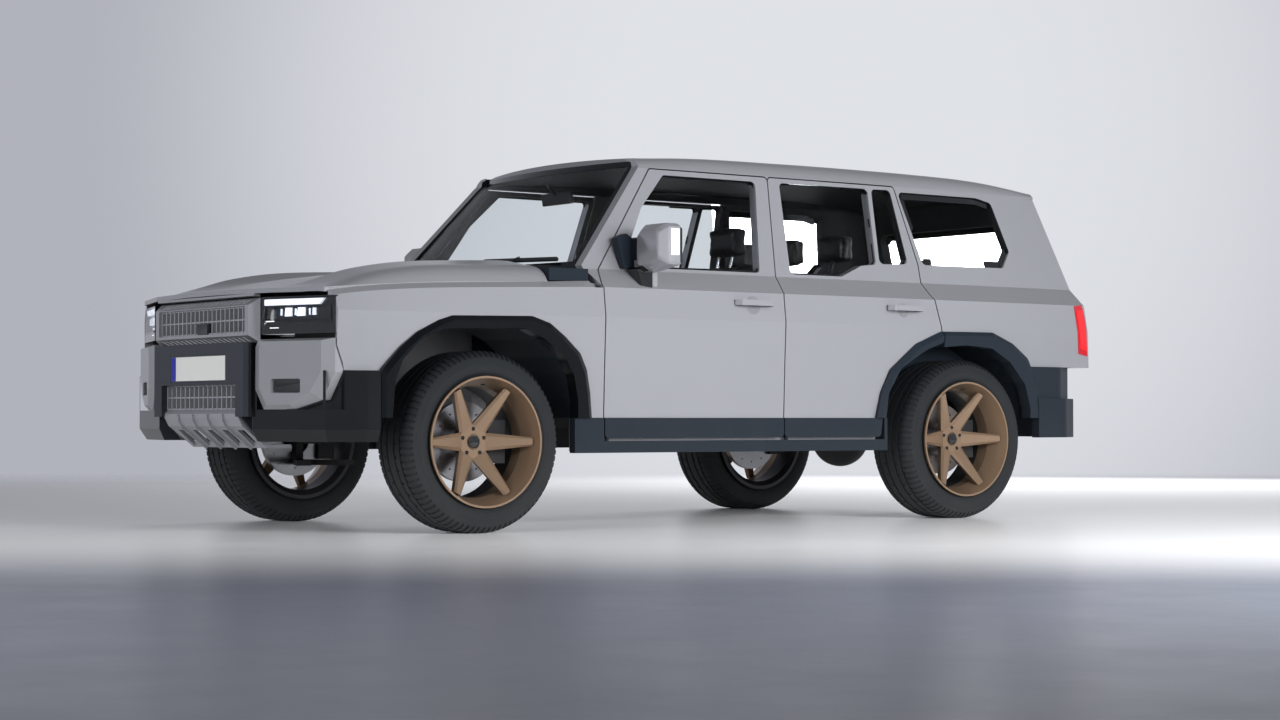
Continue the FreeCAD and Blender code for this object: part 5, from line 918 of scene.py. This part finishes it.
class ESTATE_OT_wipers(bpy.types.Operator):
    """Lay two wipers at the foot of the windscreen and one on the tail screen."""

    bl_idname = "estate.wipers"
    bl_label = "Fit the wipers"

    def execute(self, context):
        screen = frame["nodes"]["fixed_glass"]
        for index, (pivot, y0, y1) in enumerate(((0.50, 0.64, 0.10), (-0.12, 0.00, -0.58))):
            ends = [self.on_glass(screen, y, z, 0.016) for y, z in ((y0, 1.212), (y1, 1.226))]
            blade = bar_between("wiper_blade_%d" % (index + 1), ends[0], ends[1], 0.016, 0.014, 0.5)
            dish(blade, looks("z", 0.6), 0.004, (0, 0, 0.004))
            complete(blade, "black metal", "car", bevel=0.0015)
            middle = (ends[0] + ends[1]) / 2 + Vector((0.004, 0, 0.014))
            foot = Vector((1.012, pivot - 0.30, 1.190))
            arm = bar_between("wiper_arm_%d" % (index + 1), foot, middle, 0.020, 0.010)
            pick(arm, "FACE", lambda face: (face.calc_center_median() - middle).length < 0.02)
            bpy.ops.transform.resize(value=(0.5, 0.5, 0.7))
            dish(arm, looks("z", 0.6), 0.003, (0, 0, 0.002))
            complete(arm, "black metal", "car", bevel=0.0015)
            cap = new_round("wiper_pivot_%d" % (index + 1), foot, 0.017, 0.030, "Z", 24)
            dish(cap, looks("z", 0.9), 0.004, (0, 0, 0.004))
            complete(cap, "black metal", "car", bevel=0.002)
        tail = frame["nodes"]["tailgate_glass"]
        ends = [self.on_glass(tail, y, z, 0.014, -1) for y, z in ((0.30, 1.250), (-0.02, 1.236))]
        blade = bar_between("tail_wiper", ends[0], ends[1], 0.014, 0.013)
        dish(blade, looks("x", -0.6), 0.003, (-0.002, 0, 0))
        complete(blade, "black metal", "tail_door", bevel=0.0015)
        return {"FINISHED"}

    def on_glass(self, pane, y, z, lift, way=1):
        """The place on a pane's outer side at a width and height, lifted off the glass."""
        hit, place, normal, index = pane.ray_cast(Vector((way * 4.0, y, z)), Vector((-way, 0, 0)))
        if not hit:
            raise RuntimeError("no glass at %.3f %.3f" % (y, z))
        return place + normal * lift


# Tail


class ESTATE_OT_tail(bpy.types.Operator):
    """Finish the tail: lamp reflectors, handle, stop lamp and bumper reflectors."""

    bl_idname = "estate.tail"
    bl_label = "Dress the tail"

    def execute(self, context):
        gate, bumper = frame["nodes"]["tailgate"], frame["nodes"]["rear_bumper"]
        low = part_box("tail_lamps")[0]
        for index in range(5):
            z = low.z + 0.036 + index * 0.061
            rib = new_block("tail_rib", (low.x + 0.0005, 0.708, z), (low.x + 0.006, 0.752, z + 0.034))
            dish(rib, looks("x", -0.9), 0.004, (0.0025, 0, 0))
            on_both_sides(rib, "tail_rib_%d" % (index + 1), "red glow", bevel=0.0012)
        for side, way in SIDES:
            for label, (x0, x1, z0, z1), finish, lift in (
                    ("tail_wrap", (-2.278, -2.206, 0.822, 1.090), "red lens", 0.0005),
                    ("tail_wrap_glow", (-2.268, -2.218, 0.850, 1.064), "red glow", 0.0035)):
                lens = new_outline("%s_%s" % (label, side), [(x, 1.2 * way, z) for x, z in (
                    (x0, z0), (x1, z0 + 0.012), (x1 + 0.024, z1 - 0.008), (x0 + 0.026, z1))])
                lay_on(lens, "side_" + side, "Y", way, lift, 0.003, finish, "car")
        handle = self.tail_block("tail_handle", (-0.31, 0.31), (1.010, 1.052), gate, -0.002, 0.016)
        dish(handle, looks("z", -0.7), 0.004, (0, 0, 0.010))
        complete(handle, "gloss black", "tail_door", bevel=0.004, segments=3)
        stop = self.tail_block("high_stop_lamp", (-0.16, 0.16), (1.602, 1.618), gate, -0.003, 0.005)
        dish(stop, looks("x", -0.7), 0.003, (0.001, 0, 0))
        complete(stop, "red glow", "tail_door", bevel=0.001)
        lamp = self.tail_block("bumper_reflector", (0.40, 0.54), (0.560, 0.584), bumper, -0.003, 0.005)
        past_box = max(0, CAD_BOX[0][0] - min(corner.co.x for corner in lamp.data.vertices))
        lamp.data.transform(Matrix.Translation((past_box, 0, 0)))
        dish(lamp, looks("x", -0.7), 0.003, (0.001, 0, 0))
        on_both_sides(lamp, "bumper_reflector", "red lens", bevel=0.001)
        return {"FINISHED"}

    def tail_block(self, name, across, up, carrier, sink, proud):
        """A block on the rear face of a carrier, leaning as that face does."""
        middle = (across[0] + across[1]) / 2
        found = []
        for z in up:
            hit, place, normal, index = carrier.ray_cast(Vector((-4, middle, z)), Vector((1, 0, 0)))
            if not hit:
                raise RuntimeError("nothing behind " + name)
            found.append(place)
        lean = math.atan2(found[1].x - found[0].x, up[1] - up[0])
        x = (found[0].x + found[1].x) / 2
        half = (up[1] - up[0]) / 2 / math.cos(lean)
        z = (up[0] + up[1]) / 2
        piece = new_block(name, (-proud, across[0], -half), (-sink, across[1], half))
        piece.data.transform(Matrix.Translation((x, 0, z)) @ Matrix.Rotation(lean, 4, "Y"))
        return piece


# Seats


def stuffed(name, low, high, voxel, swell, shape=None):
    """A cushion: a rounded block that is remeshed, blown up a little as cloth and held to a limit."""
    pad = new_block(name, low, high)
    pick(pad, "FACE", lambda face: True)
    bpy.ops.mesh.subdivide(number_cuts=3)
    clear_selection()
    if shape:
        for corner in pad.data.vertices:
            corner.co = shape(corner.co)
    modify(pad, "BEVEL", width=0.022, segments=3, limit_method="ANGLE")
    modify(pad, "REMESH", mode="VOXEL", voxel_size=voxel)
    start = points_of(pad)
    take(pad)
    cloth = pad.modifiers.new("cloth", "CLOTH")
    cloth.settings.use_pressure = True
    cloth.settings.uniform_pressure_force = 4
    cloth.settings.effector_weights.gravity = 0
    cloth.settings.quality = 4
    cloth.point_cache.frame_start = 1
    cloth.point_cache.frame_end = 14
    for number in range(1, 15):
        bpy.context.scene.frame_set(number)
    bpy.ops.object.modifier_apply(modifier=cloth.name)
    bpy.context.scene.frame_set(1)
    moved = points_of(pad) - start
    length = np.maximum(np.linalg.norm(moved, axis=1, keepdims=True), 1e-9)
    moved *= np.minimum(1, swell / length)
    put_points(pad, start + moved)
    return pad


def points_of(piece):
    """A mesh's corners as an array."""
    places = np.empty(len(piece.data.vertices) * 3, np.float64)
    piece.data.vertices.foreach_get("co", places)
    return places.reshape(-1, 3)


def put_points(piece, places):
    """Write an array of corners back to a mesh."""
    piece.data.vertices.foreach_set("co", np.ascontiguousarray(places, np.float64).ravel())
    piece.data.update()


def normals_of(piece):
    """A mesh's corner normals as an array."""
    found = np.empty(len(piece.data.vertices) * 3, np.float32)
    piece.data.vertices.foreach_get("normal", found)
    return found.reshape(-1, 3).astype(np.float64)


def sewn(pad, seams, depth=0.007, width=0.007):
    """Press seams into a pad; each seam is a function of its corners that is nought on the line."""
    places, normals = points_of(pad), normals_of(pad)
    press = np.zeros(len(places))
    for seam in seams:
        press = np.maximum(press, np.exp(-(seam(places) / width) ** 2))
    put_points(pad, places - normals * (press * depth)[:, None])
    return pad


def soft_finish(pad, node, body="car"):
    modify(pad, "SUBSURF", levels=1, render_levels=1)
    complete(pad, "seat leather", body, angle=180)
    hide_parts(node)
    return pad


SEAT_Y = 0.40
SEAT_LEAN = 0.28


class ESTATE_OT_seats(bpy.types.Operator):
    """Upholster the two front seats and the rear bench."""

    bl_idname = "estate.seats"
    bl_label = "Upholster the seats"

    def execute(self, context):
        self.front_pair()
        self.bench()
        return {"FINISHED"}

    def front_pair(self):
        """One padded front seat and its mirrored twin."""
        y = SEAT_Y

        def bolstered(place):
            """The cushion's sides stand up and its nose rolls down."""
            side = abs(place.y - y) / 0.25
            rise = 0.022 * max(0, side - 0.55) / 0.45 if place.z > 0.72 else 0
            return Vector((place.x, place.y, place.z + rise - (0.02 if place.x > 0.38 and place.z > 0.72 else 0)))

        def leaning(place):
            """The backrest leans back, narrows upwards and wraps a little at its sides."""
            up = (place.z - 0.77) / 0.5
            side = abs(place.y - y) / 0.25
            wrap = 0.030 * max(0, side - 0.5) / 0.5 if place.x > -0.12 else 0
            narrow = 1 - 0.14 * max(0, up)
            return Vector((place.x - up * 0.5 * SEAT_LEAN + wrap, y + (place.y - y) * narrow, place.z))

        cushion = stuffed("front_cushion", (-0.040, y - 0.238, 0.625), (0.425, y + 0.238, 0.742), 0.008, 0.014,
                          bolstered)
        back = stuffed("front_backrest", (-0.160, y - 0.236, 0.700), (-0.068, y + 0.236, 1.245), 0.008, 0.014,
                       leaning)
        rest = stuffed("front_headrest", (-0.290, y - 0.115, 1.292), (-0.222, y + 0.115, 1.426), 0.006, 0.008)
        lines = {
            cushion: [lambda p: np.abs(p[:, 1] - y) - 0.150, lambda p: np.where(np.abs(p[:, 1] - y) < 0.15,
                      (p[:, 0] - 0.06) % 0.12 - 0.06, 1), lambda p: p[:, 2] - 0.672],
            back: [lambda p: np.abs(p[:, 1] - y) - 0.140, lambda p: np.where(np.abs(p[:, 1] - y) < 0.14,
                   (p[:, 2] - 0.84) % 0.11 - 0.055, 1)],
            rest: [lambda p: np.abs(p[:, 1] - y) - 0.095],
        }
        for pad, seams in lines.items():
            sewn(pad, seams)
            twin = copied(pad, pad.name + "_right", MIRROR, flip=True)
            pad.name += "_left"
            soft_finish(pad, "front_seats")
            soft_finish(twin, "front_seats")
        base = new_block("front_seat_base", (-0.055, y - 0.215, 0.5675), (0.395, y + 0.215, 0.640))
        pick(base, "FACE", looks("z", 0.9))
        bpy.ops.transform.resize(value=(1.02, 1.04, 1))
        pick(base, "FACE", lambda face: abs(face.normal.y) > 0.8)
        bpy.ops.mesh.inset(thickness=0.018, use_individual=True)
        bpy.ops.mesh.extrude_region_shrink_fatten(TRANSFORM_OT_shrink_fatten={"value": -0.006})
        on_both_sides(base, "front_seat_base", "cabin plastic", bevel=0.006, segments=3)
        for index, offset in enumerate((-0.052, 0.052)):
            ends = [(-0.226, y + offset, 1.210), (-0.252, y + offset, 1.330)]
            post = bar_between("headrest_post", *ends, 0.012, 0.012)
            modify(post, "BEVEL", width=0.005, segments=3, limit_method="NONE")
            on_both_sides(post, "headrest_post_%d" % (index + 1), "chrome", slot="cabin_plastic")

    def bench(self):
        """The rear bench: cushion, back and three headrests."""
        def leaning(place):
            """The back leans as the front seats do."""
            up = (place.z - 0.77) / 0.5
            return Vector((place.x - up * 0.5 * SEAT_LEAN, place.y, place.z))

        cushion = stuffed("bench_cushion", (-0.750, -0.600, 0.705), (-0.292, 0.600, 0.752), 0.010, 0.012)
        back = stuffed("bench_back", (-0.872, -0.600, 0.715), (-0.782, 0.600, 1.245), 0.010, 0.014, leaning)
        for pad in (cushion, back):
            sewn(pad, [lambda p: np.abs(p[:, 1]) - 0.16, lambda p: np.abs(p[:, 1]) - 0.53,
                       lambda p: np.where((np.abs(p[:, 1]) > 0.16) & (np.abs(p[:, 1]) < 0.53),
                                          (p[:, 0] * 2.4 + p[:, 2]) % 0.15 - 0.075, 1)], 0.008, 0.009)
            soft_finish(pad, "rear_seats")
        for index, y in enumerate((-0.38, 0.0, 0.38)):
            rest = stuffed("bench_headrest_%d" % (index + 1), (-1.003, y - 0.11, 1.292), (-0.935, y + 0.11, 1.420),
                           0.007, 0.008)
            sewn(rest, [lambda p, y=y: np.abs(p[:, 1] - y) - 0.092])
            soft_finish(rest, "rear_seats")
            post = bar_between("bench_post_%d" % (index + 1), (-0.925, y, 1.215), (-0.968, y, 1.330), 0.030, 0.012)
            complete(post, "cabin plastic", "car", bevel=0.004)


# Cabin


class ESTATE_OT_cabin(bpy.types.Operator):
    """Add the screen, vents, instrument hood, console, gear lever and inner mirror."""

    bl_idname = "estate.cabin"
    bl_label = "Fit out the cabin"

    def execute(self, context):
        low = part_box("dashboard")[0]
        screen = new_block("centre_screen", (low.x + 0.010, -0.150, 1.020), (low.x + 0.030, 0.150, 1.098),
                           (0, -0.12, 0))
        dish(screen, looks("x", -0.9), 0.007, (0.0015, 0, 0))
        complete(screen, "gloss black", "car", bevel=0.003, segments=3)
        hood = new_block("instrument_hood", (low.x + 0.030, 0.255, 1.060), (low.x + 0.170, 0.545, 1.103))
        pick(hood, "FACE", looks("x", -0.9))
        bpy.ops.mesh.inset(thickness=0.010)
        bpy.ops.mesh.extrude_region_move(TRANSFORM_OT_translate={"value": (0.045, 0, 0)})
        complete(hood, "cabin plastic", "car", bevel=0.010, segments=3)
        for side, way in SIDES:
            for index, place in enumerate((0.205, 0.640)):
                vent = new_block("vent", (low.x + 0.004, place * way - 0.045, 1.020),
                                 (low.x + 0.034, place * way + 0.045, 1.062))
                pick(vent, "FACE", looks("x", -0.9))
                bpy.ops.mesh.inset(thickness=0.005)
                bpy.ops.mesh.extrude_region_move(TRANSFORM_OT_translate={"value": (0.010, 0, 0)})
                complete(vent, "cabin plastic", "car", bevel=0.002)
                vent.name = "vent_%s_%d" % (side, index + 1)
        console = new_block("console", (0.020, -0.105, 0.610), (low.x + 0.060, 0.105, 0.800))
        dish(console, looks("z", 0.9), 0.020, (0, 0, -0.010))
        complete(console, "cabin plastic", "car", bevel=0.012, segments=3)
        lever = new_round("gear_lever", (0.300, 0, 0.850), 0.016, 0.110, "Z", 24)
        pick(lever, "FACE", looks("z", 0.9))
        bpy.ops.transform.resize(value=(1.5, 1.5, 1))
        complete(lever, "seat leather", "car", bevel=0.006, segments=3)
        mirror = new_block("inner_mirror", (0.470, -0.120, 1.535), (0.494, 0.120, 1.595), (0, 0.15, 0))
        dish(mirror, looks("x", -0.9), 0.005, (0.001, 0, 0))
        complete(mirror, "cabin plastic", "car", bevel=0.006, segments=3)
        stalk = bar_between("inner_mirror_stalk", (0.486, 0, 1.575), (0.545, 0, 1.632), 0.020, 0.012)
        complete(stalk, "cabin plastic", "car", bevel=0.003)
        return {"FINISHED"}


# Stage


TOWARDS_CAMERA = (0.596, 0.803, 0)
NEAR_FLOOR = (2.2, 5.2)
FLOOR_BEHIND = (-11, -4)
# The colour of the shade painted on the floor towards the camera
NEAR_FLOOR_PAINTED_SHADE = (0.11, 0.12, 0.155, 1)
GLOW_DIRECTION = Vector((-0.645, -0.755, 0.115))
GLOW_RANGE = (0.958, 1.0)
BACKDROP_RISE = (0.16, 0.75)
BACKDROP_DULL = (0.44, 0.45, 0.50, 1)
BACKDROP_BRIGHT = (0.74, 0.76, 0.80, 1)
BACKDROP_OVERHEAD = (0.09, 0.095, 0.11, 1)
LIGHT_AROUND = (0.72, 0.74, 0.78, 1)
LIGHT_OVERHEAD = (0.04, 0.045, 0.05, 1)
LIGHT_STRENGTH = 0.7


def floor_finish():
    """A pale polished floor with painted shade that darkens it towards the camera, and that fades out behind the
    vehicle.
    """
    material = add_grain(principled("studio floor", (0.90, 0.905, 0.92), 0.32), 3, 0.0, 0.02)
    tree = material.node_tree
    shader = tree.nodes["Principled BSDF"]
    ahead = add_node(tree, "VectorMath", {0: object_place(tree), 1: TOWARDS_CAMERA}, operation="DOT_PRODUCT")
    near, kept = [smooth_range(tree, ahead, low, high) for low, high in (NEAR_FLOOR, FLOOR_BEHIND)]
    pale = shader.inputs["Base Color"].links[0].from_socket
    # Painted shade: the pale floor is blended to a dark colour towards the camera
    feed(tree, shader, {"Base Color": blend(tree, near, pale, NEAR_FLOOR_PAINTED_SHADE), "Alpha": kept})
    return material


def smooth_range(tree, value, low, high):
    """A smooth step from nought at one value to one at another."""
    return add_node(tree, "MapRange", {"Value": value, "From Min": low, "From Max": high},
                    interpolation_type="SMOOTHSTEP")


def studio_world():
    """A pale studio backdrop that is brighter behind the vehicle and darker overhead."""
    world = bpy.data.worlds.new("studio")
    world.use_nodes = True
    tree = world.node_tree
    place = add_node(tree, "TexCoord").outputs["Generated"]
    towards = add_node(tree, "VectorMath", {0: place, 1: GLOW_DIRECTION.normalized()}, operation="DOT_PRODUCT")
    split = add_node(tree, "SeparateXYZ", {0: place})
    rise = smooth_range(tree, split.outputs["Z"], *BACKDROP_RISE)
    backdrop = blend(tree, smooth_range(tree, towards, *GLOW_RANGE), BACKDROP_DULL, BACKDROP_BRIGHT)
    seen = add_node(tree, "Background", {"Color": blend(tree, rise, backdrop, BACKDROP_OVERHEAD)})
    light = tree.nodes["Background"]
    feed(tree, light, {"Color": blend(tree, rise, LIGHT_AROUND, LIGHT_OVERHEAD), "Strength": LIGHT_STRENGTH})
    path = add_node(tree, "LightPath").outputs
    direct = add_node(tree, "Math", {0: path["Is Camera Ray"], 1: path["Is Glossy Ray"]}, operation="ADD")
    both = add_node(tree, "Math", {0: direct, 1: path["Is Transmission Ray"]}, operation="ADD", use_clamp=True)
    choice = add_node(tree, "MixShader", {0: both, 1: light, 2: seen})
    feed(tree, tree.nodes["World Output"], {"Surface": choice})
    return world


def area_light(name, place, aim, width, height, power):
    """A soft box that looks at a point."""
    data = bpy.data.lights.new(name, "AREA")
    data.shape = "RECTANGLE"
    data.size = width
    data.size_y = height
    data.energy = power
    lamp = bpy.data.objects.new(name, data)
    bpy.context.collection.objects.link(lamp)
    lamp.location = place
    lamp.rotation_euler = (Vector(aim) - Vector(place)).to_track_quat("-Z", "Y").to_euler()
    return lamp


class ESTATE_OT_stage(bpy.types.Operator):
    """Put down the floor, the lamps, the world and the camera."""

    bl_idname = "estate.stage"
    bl_label = "Set the stage"

    def execute(self, context):
        setup = context.scene.estate_stage
        clear_selection()
        bpy.ops.mesh.primitive_plane_add(size=80)
        floor = context.object
        floor.name = "studio_floor"
        floor.data.materials.append(floor_finish())
        context.scene.world = studio_world()
        area_light("overhead", (0.0, 0.5, 5.5), (0, 0, 0.6), 8, 5, setup.key_power)
        flank = area_light("flank", (-0.3, 7.4, 1.9), (-0.3, 0, 0.6), 4.4, 2.2, setup.fill_power)
        nose = area_light("nose", (9.5, 3.0, 2.4), (0, 0, 0.7), 5, 2.4, setup.fill_power * 0.5)
        tail = area_light("tail", (-8.0, -5.0, 2.4), (0, 0, 0.2), 6, 3, setup.fill_power * 0.8)
        for lamp in (flank, nose, tail):
            lamp.visible_glossy = False
        data = bpy.data.cameras.new("camera")
        data.lens = setup.lens
        data.sensor_width = 36
        camera = bpy.data.objects.new("camera", data)
        context.collection.objects.link(camera)
        yaw, pitch = math.radians(36.586), math.radians(1.346)
        forward = Vector((-math.sin(yaw) * math.cos(pitch), -math.cos(yaw) * math.cos(pitch), math.sin(pitch)))
        camera.location = (7.4562, 10.0689, 0.4937)
        camera.rotation_euler = forward.to_track_quat("-Z", "Y").to_euler()
        context.scene.camera = camera
        context.scene.view_settings.view_transform = "Standard"
        return {"FINISHED"}


class ESTATE_PT_sidebar(bpy.types.Panel):
    """The dressing steps in the sidebar."""

    bl_idname = "ESTATE_PT_sidebar"
    bl_label = "Off-road estate"
    bl_space_type = "VIEW_3D"
    bl_region_type = "UI"
    bl_category = "Estate"

    def draw(self, context):
        for settings in (context.scene.estate_colours, context.scene.estate_stage):
            for label in settings.__annotations__:
                self.layout.prop(settings, label)
        for operator in OPERATORS:
            self.layout.operator(operator.bl_idname)


OPERATORS = (
    ESTATE_OT_paint, ESTATE_OT_tyres, ESTATE_OT_wheel_trim, ESTATE_OT_nose, ESTATE_OT_headlamps, ESTATE_OT_windows,
    ESTATE_OT_mirrors, ESTATE_OT_wipers, ESTATE_OT_tail, ESTATE_OT_seats, ESTATE_OT_cabin, ESTATE_OT_stage)
CLASSES = (EstateColours, EstateStage) + OPERATORS + (ESTATE_PT_sidebar,)


def register():
    """Register the classes and their settings."""
    for entry in CLASSES:
        bpy.utils.register_class(entry)
    bpy.types.Scene.estate_colours = bpy.props.PointerProperty(type=EstateColours)
    bpy.types.Scene.estate_stage = bpy.props.PointerProperty(type=EstateStage)


def unregister():
    """Take the classes and their settings out again."""
    del bpy.types.Scene.estate_stage
    del bpy.types.Scene.estate_colours
    for entry in reversed(CLASSES):
        bpy.utils.unregister_class(entry)


def main():
    """Run every dressing step in order."""
    register()
    for operator in OPERATORS:
        group, name = operator.bl_idname.split(".")
        getattr(getattr(bpy.ops, group), name)()
    clear_selection()


if __name__ == "__main__":
    main()
